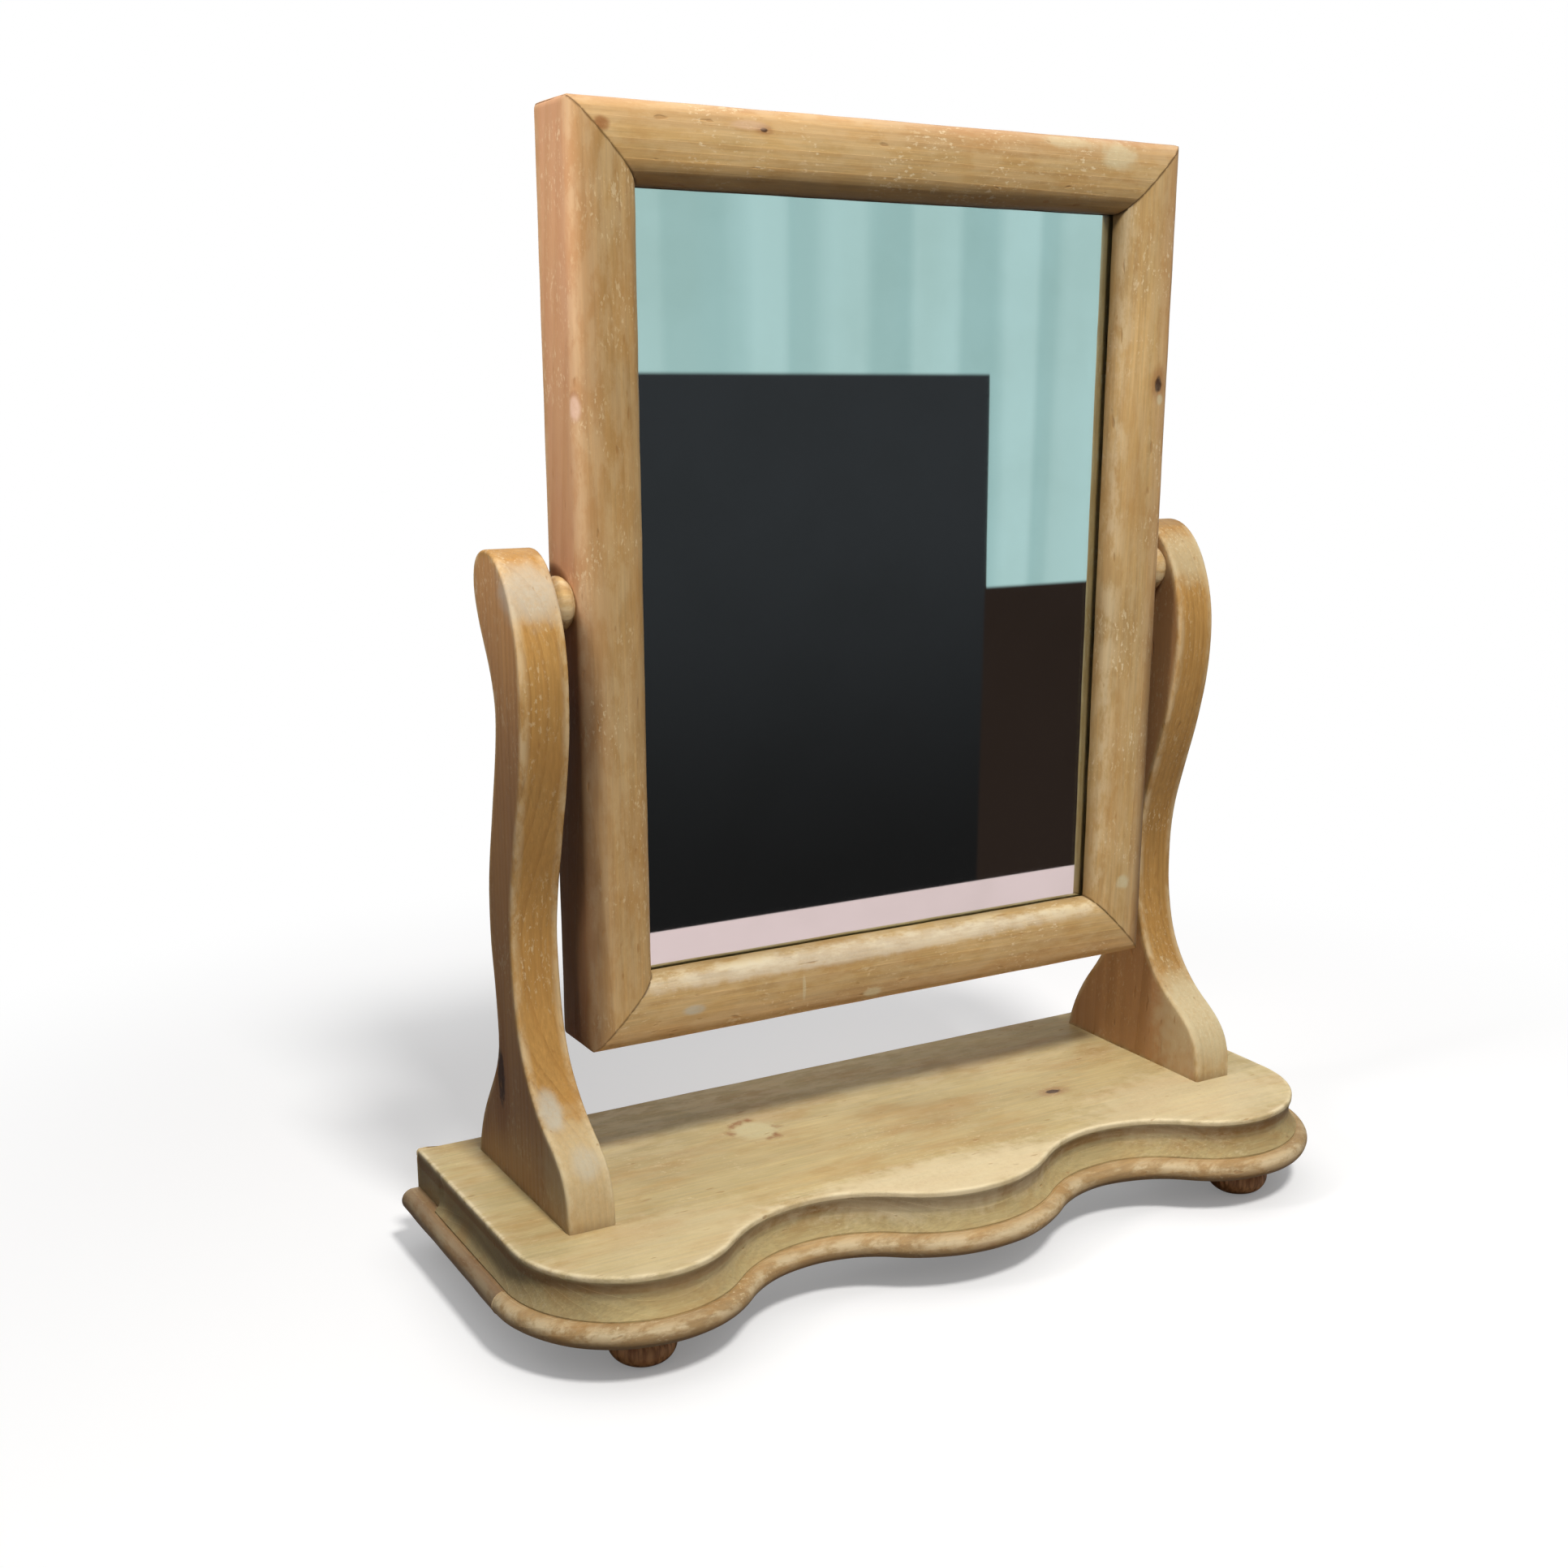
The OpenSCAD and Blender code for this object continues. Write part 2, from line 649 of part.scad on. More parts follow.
module backboard_screws() {
    color("goldenrod") back_screw_set();
}

// Turned boss on the stile, through which the pivot pin passes
module boss(side) {
    t = pivot_gap - face_gap;
    r = boss_d / 2;
    flat_r = r - t / 4; // radius of its flat faces
    round_a = 50;       // half the angle of its rounded rim
    color("burlywood") translate([side * stile_x, pivot_y, pivot_z]) rotate([0, side * 90, 0])
        rotate_extrude() polygon(concat(
            [[pin_d / 2 + glue_gap, 0]],
            [[flat_r, 0]],
            arc([r - t / 2, t / 2], t / 2, -round_a, round_a, 8),
            [[flat_r, t], [pin_d / 2 + glue_gap, t]]
        ));
}

module left_boss() { boss(-1); }
module right_boss() { boss(1); }

// Pivot pin, glued in the stile and the boss, turning in the upright
module pivot_pin(side) {
    length = pin_in_stile + pivot_gap + pin_in_upright;
    r = pin_d / 2;
    tip = 0.8;
    color("saddlebrown") translate([side * (stile_x - pin_in_stile), pivot_y, pivot_z])
        rotate([0, side * 90, 0]) rotate_extrude() polygon([
            [0, 0], [r - tip, 0], [r, tip], [r, length - tip], [r - tip, length], [0, length],
        ]);
}

module left_pivot_pin() { pivot_pin(-1); }
module right_pivot_pin() { pivot_pin(1); }

base_board();
plinth_front();
plinth_left();
plinth_right();
plinth_back();
plinth_screws();
foot_front_left();
foot_front_right();
foot_back_left();
foot_back_right();
left_upright();
right_upright();
upright_screws();
top_rail();
bottom_rail();
left_stile();
right_stile();
mitre_keys();
mirror_glass();
silvering();
glass_blocks();
backboard();
backboard_screws();
left_boss();
right_boss();
left_pivot_pin();
right_pivot_pin();
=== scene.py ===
"""Waxed pine toilet mirror: its looks, built round the fixed frame."""

import math

import bmesh
import bpy
from mathutils import Matrix, Vector, noise


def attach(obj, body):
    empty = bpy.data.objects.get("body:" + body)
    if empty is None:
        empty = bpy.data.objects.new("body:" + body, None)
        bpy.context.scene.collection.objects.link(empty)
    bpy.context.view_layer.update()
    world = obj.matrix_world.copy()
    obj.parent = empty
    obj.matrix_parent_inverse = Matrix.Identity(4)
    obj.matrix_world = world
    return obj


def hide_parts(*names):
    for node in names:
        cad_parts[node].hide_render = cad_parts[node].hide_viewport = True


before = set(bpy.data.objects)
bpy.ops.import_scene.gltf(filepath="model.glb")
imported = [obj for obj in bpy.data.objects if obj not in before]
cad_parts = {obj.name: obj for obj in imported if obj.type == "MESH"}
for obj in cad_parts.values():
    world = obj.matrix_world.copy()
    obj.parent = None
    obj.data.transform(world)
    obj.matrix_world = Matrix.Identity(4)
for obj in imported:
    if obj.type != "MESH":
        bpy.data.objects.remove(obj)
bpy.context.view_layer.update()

# All lengths below are in millimetres; pieces are scaled to metres at the end.
MM = 0.001

X, Y, Z = range(3)

# Heights of the stand
FOOT_H = 24.5
PLINTH_T = 15
BOARD_Z = FOOT_H + PLINTH_T
BOARD_T = 25.5
TOP_Z = BOARD_Z + BOARD_T
PIVOT_H = 354.5
PIVOT_Z = TOP_Z + PIVOT_H

# Depths: the base board's with the rounded lip of the plinth in front of it
BASE_DEPTH = 230
LIP = 12.5
BACK_Y = (BASE_DEPTH + LIP) / 2
LOBE_Y = BACK_Y - BASE_DEPTH
SIDE_STRIP_W = 100
BACK_STRIP_W = 45
BLOCK_LEN = 39
BLOCK_SLOPE = 3
FOOT_IN_X, FOOT_IN_Y = 61.5, 27

# Plan of the serpentine front, the right half: three arcs, each tangent to the next
HALF_W = 290.5
LOBE_R = 70
HOLLOW_X = 112.5
HOLLOW_Y = LOBE_Y + 41
SWELL_Y = LOBE_Y + 3.5
LOBE = Vector((HALF_W - LOBE_R, LOBE_Y + LOBE_R, 0))
hollow_r = ((LOBE.x - HOLLOW_X)**2 + (LOBE.y - HOLLOW_Y)**2 - LOBE_R**2) / (
    2 * (LOBE_R - LOBE.y + HOLLOW_Y))
HOLLOW = Vector((HOLLOW_X, HOLLOW_Y - hollow_r, 0))
swell_dy = SWELL_Y - HOLLOW.y
swell_r = (HOLLOW_X**2 + swell_dy**2 - hollow_r**2) / (2 * (hollow_r - swell_dy))
SWELL = Vector((0, SWELL_Y + swell_r, 0))
to_lobe = math.atan2(LOBE.y - HOLLOW.y, LOBE.x - HOLLOW.x)
to_swell = math.atan2(SWELL.y - HOLLOW.y, SWELL.x - HOLLOW.x)
LOBE_TURN = to_lobe - math.pi
HOLLOW_TURN = to_swell - to_lobe
SWELL_TURN = math.pi / 2 - to_swell

# Section of the board's edge: the cove is one circle through the square edge
# above it, its throat and its foot
EDGE_ROUND = 1.5
COVE_TOP = BOARD_T - 4
COVE_IN = 1.5
COVE_OUT = 4.5
COVE_FOOT = 1
cove_h = COVE_TOP - COVE_FOOT
cove_z = COVE_FOOT + (cove_h * (COVE_IN + COVE_OUT) - math.sqrt(
    COVE_IN * (COVE_IN + COVE_OUT) * (cove_h**2 + COVE_OUT**2))) / COVE_OUT
COVE = Vector((((COVE_TOP - cove_z)**2 - COVE_IN**2) / (2 * COVE_IN), cove_z))
COVE_R = COVE.x + COVE_IN
RIM_IN = -14

# Uprights, frame and pivots
UPRIGHT_T = 30
TOE_LEN, HEEL_LEN = 74, 70.5
HEAD_H = 31
ARRIS = 1.9
FRAME_W, FRAME_H = 426, 538.5
FRAME_Y = BACK_Y - 65
PIVOT_Y = FRAME_Y - 23.5
CORNER_R = 4
MOULD_W, MOULD_T = 43.5, 47
REBATE_D, REBATE_W = 30, 5.5
STILE_X = FRAME_W / 2
PIVOT_GAP = 12
UPRIGHT_X = STILE_X + PIVOT_GAP
BOSS_R = 16
BOSS_T = PIVOT_GAP - 0.2
PIN_R = 6
BACKBOARD_T, BACKBOARD_LAP = 6, 12
SCREW_HEAD_R, SCREW_HEAD_SINK = 2.9, 0.95
GLASS_T, GLASS_GAP = 3, 0.03
REBATE_CLEAR_W = FRAME_W - 2 * (MOULD_W - REBATE_W)
REBATE_CLEAR_H = FRAME_H - 2 * (MOULD_W - REBATE_W)

# Heights between which painted shade comes in: on the left upright's faces and low on the stiles'
# outer sides
SIDE_SHADE_FROM, SIDE_SHADE_FULL = 425, 335


def share(value, start, end):
    """How far the value has come from start to end, kept between 0 and 1."""
    return min(max((value - start) / (end - start), 0), 1)


def on_plane(edge, axis, at):
    """Whether the edge lies on the plane across the axis (0, 1 or 2) at that place."""
    return all(abs(v.co[axis] - at) < 0.001 for v in edge.verts)


def arc(centre, radius, start, end, count):
    """Points of an arc, its angles in degrees, both ends included."""
    turns = [math.radians(start + (end - start) * i / count) for i in range(count + 1)]
    return [Vector(centre) + radius * Vector((math.cos(t), math.sin(t))) for t in turns]


def cubic(p, count):
    """Points of a cubic curve, without its first one."""
    found = []
    for i in range(1, count + 1):
        t = i / count
        s = 1 - t
        found.append(
            s**3 * Vector(p[0]) + 3 * s * s * t * Vector(p[1])
            + 3 * s * t * t * Vector(p[2]) + t**3 * Vector(p[3])
        )
    return found


class Work:
    """A piece on the bench: its mesh in millimetres and three finish marks on
    each vertex. Wear is rubbed pale, and in places a painted highlight; grime is
    dark, real dirt in places and painted shade in others; flush is reddened."""

    def __init__(self):
        self.bm = bmesh.new()
        layers = self.bm.verts.layers.float
        for name in ("wear", "grime", "flush"):
            layers.new(name)
        self.wear, self.grime, self.flush = (
            layers[n] for n in ("wear", "grime", "flush")
        )

    def mark(self, verts, wear=None, grime=None, flush=None):
        for layer, value in ((self.wear, wear), (self.grime, grime), (self.flush, flush)):
            if value is not None:
                for v in verts:
                    v[layer] = value

    def chain(self, points, closed=False):
        """Edges through the points, each a place and its marks."""
        verts = []
        for place, marks in points:
            v = self.bm.verts.new(place)
            for layer, value in zip((self.wear, self.grime, self.flush), marks):
                v[layer] = value
            verts.append(v)
        ends = verts[1:] + ([verts[0]] if closed else [])
        return [self.bm.edges.new(pair) for pair in zip(verts, ends)]

    def push(self, edges, way, count):
        """Extrudes the chain straight and gives the last one back."""
        step = [w / count for w in way]
        return self.sweep(edges, (0, 0, 0), (0, 0, 1), 0, count, step)

    def sweep(self, edges, centre, axis, angle, count, step=(0, 0, 0), merge=False):
        verts = {v for e in edges for v in e.verts}
        last = bmesh.ops.spin(
            self.bm, geom=list(verts) + list(edges), cent=centre, axis=axis, dvec=step,
            angle=angle, steps=count, use_merge=merge,
        )["geom_last"]
        return [g for g in last if isinstance(g, bmesh.types.BMEdge)]

    def turn(self, edges, centre, axis, count):
        """Turns the chain right round, as on a lathe."""
        self.sweep(edges, centre, axis, math.tau, count, merge=True)
        bmesh.ops.remove_doubles(self.bm, verts=self.bm.verts[:], dist=0.001)

    def cap(self, axis, at):
        """Closes the open loop that lies on a plane with one face."""
        loop = [e for e in self.bm.edges if len(e.link_faces) < 2 and on_plane(e, axis, at)]
        bmesh.ops.contextual_create(self.bm, geom=loop)

    def corners(self, axis, at):
        """Edges on a plane at which two faces meet at an angle."""
        return [
            e for e in self.bm.edges if on_plane(e, axis, at) and e.calc_face_angle(0) > 0.5
        ]

    def soften(self, edges, width, segments=3, wear=None):
        made = bmesh.ops.bevel(
            self.bm, geom=list(edges), offset=width, segments=segments, profile=0.5,
            affect="EDGES", material=-1, clamp_overlap=True,
        )
        if wear is not None:
            self.mark(made["verts"], wear=wear)
        return made

    def mirror_x(self):
        geom = self.bm.verts[:] + self.bm.edges[:] + self.bm.faces[:]
        bmesh.ops.mirror(self.bm, geom=geom, axis="X", merge_dist=0.01)

    def unevenness(self, depth, size, seed):
        """Slight hand-made waviness of the surfaces."""
        self.bm.normal_update()
        shift = Vector((seed * 37.0, seed * 11.0, 0))
        moves = [
            v.normal * depth * noise.noise((v.co + shift) / size) for v in self.bm.verts
        ]
        for v, move in zip(self.bm.verts, moves):
            v.co += move

    def dent(self, centre, radius, depth):
        """A knock: presses the surface in towards the piece."""
        self.bm.normal_update()
        hit = [v for v in self.bm.verts if (v.co - Vector(centre)).length < radius]
        moves = [
            v.normal * -depth * (1 - (v.co - Vector(centre)).length / radius) for v in hit
        ]
        for v, move in zip(hit, moves):
            v.co += move

    def transform(self, matrix):
        bmesh.ops.transform(self.bm, matrix=matrix, verts=self.bm.verts[:])

    def finish(self, name, body, slot, material, *nodes, sharp=32):
        """Turns the work into a piece of the scene that stands for those nodes."""
        bm = self.bm
        bmesh.ops.recalc_face_normals(bm, faces=bm.faces[:])
        bmesh.ops.scale(bm, vec=(MM, MM, MM), verts=bm.verts[:])
        mesh = bpy.data.meshes.new(name)
        bm.to_mesh(mesh)
        bm.free()
        mesh.shade_smooth()
        mesh.set_sharp_from_angle(angle=math.radians(sharp))
        mesh.materials.append(material)
        piece = bpy.data.objects.new(name, mesh)
        bpy.context.scene.collection.objects.link(piece)
        level = piece.modifiers.new("flat_faces_stay_flat", "WEIGHTED_NORMAL")
        level.keep_sharp = True
        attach(piece, body)
        if nodes:
            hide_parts(*nodes)


def srgb(red, green, blue):
    """Linear colour of display values from 0 to 255."""
    def line(value):
        value /= 255
        return value / 12.92 if value <= 0.04045 else ((value + 0.055) / 1.055) ** 2.4
    return (line(red), line(green), line(blue), 1)


class Tree:
    """Short calls for building a node tree."""

    def __init__(self, tree):
        self.tree = tree

    def add(self, kind, inputs=None, **settings):
        made = self.tree.nodes.new("ShaderNode" + kind)
        for name, value in settings.items():
            setattr(made, name, value)
        for name, value in (inputs or {}).items():
            self.put(made.inputs[name], value)
        return made

    def put(self, socket, value):
        if isinstance(value, bpy.types.NodeSocket):
            self.tree.links.new(value, socket)
        else:
            socket.default_value = value

    def math(self, operation, *values, clamp=False):
        made = self.add("Math", dict(enumerate(values)), operation=operation, use_clamp=clamp)
        return made.outputs[0]

    def vector(self, operation, *values):
        made = self.add("VectorMath", dict(enumerate(values)), operation=operation)
        return made.outputs["Value" if operation == "LENGTH" else "Vector"]

    def noise(self, vector, scale, detail=2.0, rough=0.5):
        inputs = {"Vector": vector, "Scale": scale, "Detail": detail, "Roughness": rough}
        return self.add("TexNoise", inputs).outputs["Fac"]

    def ramp(self, value, low, high, to_low=0.0, to_high=1.0, smooth=True):
        inputs = {
            "Value": value, "From Min": low, "From Max": high, "To Min": to_low,
            "To Max": to_high,
        }
        kind = "SMOOTHSTEP" if smooth else "LINEAR"
        return self.add("MapRange", inputs, interpolation_type=kind, clamp=True).outputs[0]

    def place(self):
        return self.add("TexCoord").outputs["Object"]

    def finish_mark(self, name):
        """Wear, grime or flush, as marked on the mesh: wear is partly a painted highlight, grime
        partly painted shade.
        """
        return self.add("Attribute", attribute_name=name).outputs["Fac"]

    def bump(self, height, distance, strength):
        made = self.add("Bump", {"Height": height, "Distance": distance, "Strength": strength})
        return made.outputs[0]

    def principled(self, inputs):
        """Ends a material with the standard shader."""
        shader = self.add("BsdfPrincipled", inputs)
        self.add("OutputMaterial", {"Surface": shader.outputs[0]})

    def mix(self, factor, first, second, how="MIX"):
        made = self.add("Mix", data_type="RGBA", blend_type=how, clamp_factor=True)
        for index, value in ((0, factor), (6, first), (7, second)):
            self.put(made.inputs[index], value)
        return made.outputs[2]


def group(name, inputs, outputs):
    """A node group: its tree, short calls for it, what it is given and what it gives."""
    tree = bpy.data.node_groups.new(name, "ShaderNodeTree")
    for label, kind, value in inputs:
        made = tree.interface.new_socket(label, in_out="INPUT", socket_type="NodeSocket" + kind)
        if value is not None:
            made.default_value = value
    for label in outputs:
        tree.interface.new_socket(label, in_out="OUTPUT", socket_type="NodeSocketFloat")
    given, out = tree.nodes.new("NodeGroupInput"), tree.nodes.new("NodeGroupOutput")
    return tree, Tree(tree), given.outputs, out.inputs


def sizes_away(t, given):
    """Distance from the centre, counted in sizes along each axis."""
    apart = t.vector("SUBTRACT", given["Vector"], given["Centre"])
    return t.vector("LENGTH", t.vector("DIVIDE", apart, given["Size"]))


def make_pine_figure():
    """Figure of a softwood whose grain runs along X: growth rings, fibres, and
    broad light and dark areas."""
    tree, t, given, out = group(
        "pine_figure",
        [("Vector", "Vector", None), ("Pith", "Vector", (0, 0, -0.1)),
         ("Ring", "Float", 0.006), ("Warp", "Float", 0.012)],
        ["Rings", "Fibre", "Cloud"],
    )
    v = given["Vector"]
    slow = t.vector("MULTIPLY", v, (1.6, 7, 7))
    bend = t.add("TexNoise", {"Vector": slow, "Scale": 1.0, "Detail": 2.0}).outputs["Color"]
    bend = t.vector("SUBTRACT", bend, (0.5, 0.5, 0.5))
    scaled = t.add("VectorMath", {0: bend, "Scale": given["Warp"]}, operation="SCALE")
    bent = t.vector("ADD", v, scaled.outputs["Vector"])
    across = t.vector("MULTIPLY", t.vector("SUBTRACT", bent, given["Pith"]), (0.04, 1, 1))
    turns = t.math("DIVIDE", t.vector("LENGTH", across), given["Ring"])
    jitter = t.noise(t.vector("MULTIPLY", v, (4, 120, 120)), 1.0, 2.0)
    turns = t.math("ADD", turns, t.math("MULTIPLY", jitter, 0.3))
    part = t.math("FRACT", turns)
    late = t.math("MULTIPLY", t.ramp(part, 0.2, 0.88), t.ramp(part, 1.0, 0.93))
    whole = t.math("FLOOR", turns)
    each = t.add("TexWhiteNoise", {"W": whole}, noise_dimensions="1D").outputs["Value"]
    strength = t.math("MULTIPLY_ADD", each, 0.7, 0.3)
    t.put(out["Rings"], t.math("MULTIPLY", late, strength))
    fibre = t.noise(t.vector("MULTIPLY", v, (22, 700, 700)), 1.0, 4.0, 0.65)
    t.put(out["Fibre"], fibre)
    cloud = t.noise(t.vector("MULTIPLY", v, (7, 17, 17)), 1.0, 3.0, 0.55)
    t.put(out["Cloud"], cloud)
    return tree


def make_knot():
    """A knot seen as a small dark core with a darker halo round it."""
    tree, t, given, out = group(
        "knot",
        [("Vector", "Vector", None), ("Centre", "Vector", None), ("Size", "Vector", None)],
        ["Core", "Halo"],
    )
    ragged = t.noise(given["Vector"], 260.0, 3.0)
    far = t.math("ADD", sizes_away(t, given), t.math("MULTIPLY_ADD", ragged, 0.6, -0.3))
    t.put(out["Core"], t.ramp(far, 1.0, 0.55))
    t.put(out["Halo"], t.ramp(far, 2.6, 0.9))
    return tree


def make_patch():
    """A worn or stained place with a ragged border, and the ring at its border."""
    tree, t, given, out = group(
        "patch",
        [("Vector", "Vector", None), ("Centre", "Vector", None), ("Size", "Vector", None),
         ("Ragged", "Float", 0.5)],
        ["Inside", "Border"],
    )
    ragged = t.noise(given["Vector"], 130.0, 5.0, 0.65)
    spread = t.math("MULTIPLY", t.math("SUBTRACT", ragged, 0.5), given["Ragged"])
    far = t.math("ADD", sizes_away(t, given), t.math("MULTIPLY", spread, 2.6))
    broken = t.ramp(t.noise(given["Vector"], 260.0, 6.0, 0.8), 0.3, 0.62, 0.7, 1.0)
    t.put(out["Inside"], t.math("MULTIPLY", t.ramp(far, 1.25, 0.55), broken))
    rim = t.math("MULTIPLY", t.ramp(far, 0.7, 0.98), t.ramp(far, 1.35, 1.05))
    parted = t.ramp(t.noise(given["Vector"], 70.0, 3.0), 0.38, 0.6)
    t.put(out["Border"], t.math("MULTIPLY", rim, parted))
    return tree


def make_handling():
    """Marks of use over a whole piece: small pale specks and short dark dents."""
    tree, t, given, out = group(
        "handling", [("Vector", "Vector", None), ("Amount", "Float", 0.5)],
        ["Specks", "Nicks"],
    )
    v = given["Vector"]
    where = t.noise(v, 26.0, 3.0)
    flat = t.vector("MULTIPLY", v, (0.45, 1, 1))
    fine = t.noise(flat, 520.0, 3.0, 0.6)
    coarse = t.noise(flat, 190.0, 4.0, 0.7)
    chance = t.math("MULTIPLY", t.ramp(where, 0.38, 0.68), given["Amount"])
    dots = t.math("MAXIMUM", t.ramp(fine, 0.56, 0.66), t.ramp(coarse, 0.60, 0.68))
    t.put(out["Specks"], t.math("MULTIPLY", dots, chance))
    long = t.noise(t.vector("MULTIPLY", v, (0.3, 1, 1)), 230.0, 1.5)
    t.put(out["Nicks"], t.ramp(long, 0.69, 0.78))
    return tree


PINE_FIGURE = make_pine_figure()
KNOT = make_knot()
PATCH = make_patch()
HANDLING = make_handling()

# Colours of the waxed pine
EARLY = srgb(200, 164, 108)
LATE = srgb(156, 108, 56)
WAX = srgb(176, 128, 66)
PALE = srgb(236, 219, 181)
RED = srgb(198, 147, 114)
# Dark brown of dirt, also used for painted shade in hollows, under edges and low on the sides
DIRT_AND_SHADE = srgb(62, 38, 20)
KNOT_CORE = srgb(66, 34, 18)
KNOT_HALO = srgb(146, 88, 44)
BARE = srgb(214, 203, 160)
CREAM = srgb(216, 206, 170)
# Greyish pale of wax bloom, which on the uprights' head and toe is partly a painted highlight
BLOOM_AND_SHEEN = srgb(194, 190, 174)


def new_material(name):
    made = bpy.data.materials.new(name)
    made.use_nodes = True
    made.node_tree.nodes.clear()
    return made, Tree(made.node_tree)


def along_grain(t, grain):
    """Object coordinates, turned so that the grain runs along X."""
    place = t.place()
    if grain == "X":
        return place, place
    parts = t.add("SeparateXYZ", {0: place}).outputs
    order = {"Y": (1, 2, 0), "Z": (2, 0, 1)}[grain]
    turned = t.add("CombineXYZ", {i: parts[k] for i, k in enumerate(order)}).outputs[0]
    return place, turned


def pine(name, grain, pith, shift, ring=0.0055, warp=0.012, figure=0.3, flush=0.0,
         knots=(), patches=(), specks=0.5, early=EARLY, late=LATE, tint=None):
    """Waxed pine. Pith is where the tree's middle lay, across the grain. In metres,
    a knot is (centre, size) and a patch is (centre, size, raggedness, strength,
    colour, strength of its dark rim)."""
    made, t = new_material(name)
    place, turned = along_grain(t, grain)
    turned = t.vector("ADD", turned, shift)
    figure_node = t.add(
        "Group", {"Vector": turned, "Pith": pith, "Ring": ring, "Warp": warp},
        node_tree=PINE_FIGURE,
    )
    rings, fibre, cloud = (figure_node.outputs[n] for n in ("Rings", "Fibre", "Cloud"))
    colour = t.mix(t.math("MULTIPLY", rings, figure), early, late)
    streak = t.ramp(fibre, 0.3, 0.7, 0.84, 1.13, smooth=False)
    area = t.ramp(cloud, 0.3, 0.7, 0.84, 1.13, smooth=False)
    tone = t.math("MULTIPLY", streak, area)
    grey = t.add("CombineXYZ", {0: tone, 1: tone, 2: tone}).outputs[0]
    colour = t.mix(1.0, colour, grey, "MULTIPLY")
    thick = t.ramp(t.noise(t.vector("MULTIPLY", turned, (12, 34, 34)), 1.0, 6.0, 0.68), 0.44, 0.66)
    colour = t.mix(t.math("MULTIPLY", thick, 0.42), colour, WAX)

    flushed = t.math("MULTIPLY", t.finish_mark("flush"), 0.75)
    flushed = t.math("ADD", flushed, flush, clamp=True)
    flushed = t.math("MULTIPLY", flushed, t.ramp(cloud, 0.25, 0.75, 1.0, 0.7))
    colour = t.mix(flushed, colour, t.mix(t.math("MULTIPLY", rings, 0.35), tint or RED, LATE))
    for centre, size in knots:
        found = t.add(
            "Group", {"Vector": place, "Centre": centre, "Size": size}, node_tree=KNOT
        )
        colour = t.mix(t.math("MULTIPLY", found.outputs["Halo"], 0.5), colour, KNOT_HALO)
        colour = t.mix(found.outputs["Core"], colour, KNOT_CORE)
    marks = t.add("Group", {"Vector": turned, "Amount": specks}, node_tree=HANDLING)
    # Pale from the wear mark: rubbed wear, and in places a painted highlight
    rub_and_sheen = t.noise(t.vector("MULTIPLY", turned, (0.4, 1, 1)), 95.0, 5.0, 0.68)
    rub_and_sheen = t.math("MULTIPLY_ADD", t.ramp(rub_and_sheen, 0.4, 0.6), 0.8, 0.15)
    worn_and_lit = t.math("MULTIPLY", t.finish_mark("wear"), rub_and_sheen)
    pale = t.math("MAXIMUM", worn_and_lit, t.math("MULTIPLY", marks.outputs["Specks"], 0.7))
    colour = t.mix(pale, colour, PALE)
    for centre, size, ragged, strength, stain, rim in patches:
        found = t.add(
            "Group", {"Vector": place, "Centre": centre, "Size": size, "Ragged": ragged},
            node_tree=PATCH,
        )
        inside = t.math("MULTIPLY", found.outputs["Inside"], strength)
        colour = t.mix(inside, colour, stain)
        if rim:
            colour = t.mix(t.math("MULTIPLY", found.outputs["Border"], rim), colour, KNOT_HALO)
    # Dark from the grime mark: real dirt in places, painted shade in others
    soiled_and_shaded = t.math("MULTIPLY", t.finish_mark("grime"), t.ramp(cloud, 0.2, 0.8, 1.0, 0.65))
    colour = t.mix(t.math("MULTIPLY", soiled_and_shaded, 0.85), colour, DIRT_AND_SHADE)
    colour = t.mix(t.math("MULTIPLY", marks.outputs["Nicks"], 0.45), colour, LATE)
    height = t.math("MULTIPLY_ADD", fibre, 0.5, t.math("MULTIPLY", rings, 0.5))
    height = t.math("SUBTRACT", height, t.math("MULTIPLY", marks.outputs["Nicks"], 1.2))
    height = t.math("SUBTRACT", height, t.math("MULTIPLY", pale, 0.3))
    t.principled({
        "Base Color": colour, "Roughness": t.ramp(fibre, 0.3, 0.7, 0.40, 0.56),
        "Specular IOR Level": 0.42, "Normal": t.bump(height, 0.00035, 0.55),
    })
    return made


def turned_wood(name, dark, light):
    """Dark polished wood of a turned part, with rings round its axis."""
    made, t = new_material(name)
    place = t.place()
    fine = t.noise(t.vector("MULTIPLY", place, (500, 500, 60)), 1.0, 3.0)
    broad = t.noise(place, 45.0, 3.0)
    colour = t.mix(t.ramp(fine, 0.35, 0.65), dark, light)
    colour = t.mix(t.ramp(broad, 0.35, 0.7, 0.0, 0.55), colour, dark)
    rub_and_sheen = t.ramp(t.noise(place, 120.0, 3.0), 0.4, 0.65)
    worn_and_lit = t.math("MULTIPLY", t.finish_mark("wear"), rub_and_sheen)
    t.principled({
        "Base Color": t.mix(worn_and_lit, colour, srgb(176, 116, 72)),
        "Roughness": t.ramp(broad, 0.3, 0.7, 0.3, 0.5), "Normal": t.bump(fine, 0.0002, 0.4),
    })
    return made


def metal(name, colour, tarnish, rough):
    made, t = new_material(name)
    place = t.place()
    cloudy = t.ramp(t.noise(place, 380.0, 4.0, 0.6), 0.38, 0.66)
    scratch = t.noise(t.vector("MULTIPLY", place, (3000, 900, 900)), 1.0, 2.0)
    t.principled({
        "Base Color": t.mix(cloudy, colour, tarnish), "Metallic": 1.0,
        "Roughness": t.math("MULTIPLY_ADD", cloudy, 0.25, rough),
        "Normal": t.bump(scratch, 0.00005, 0.5),
    })
    return made


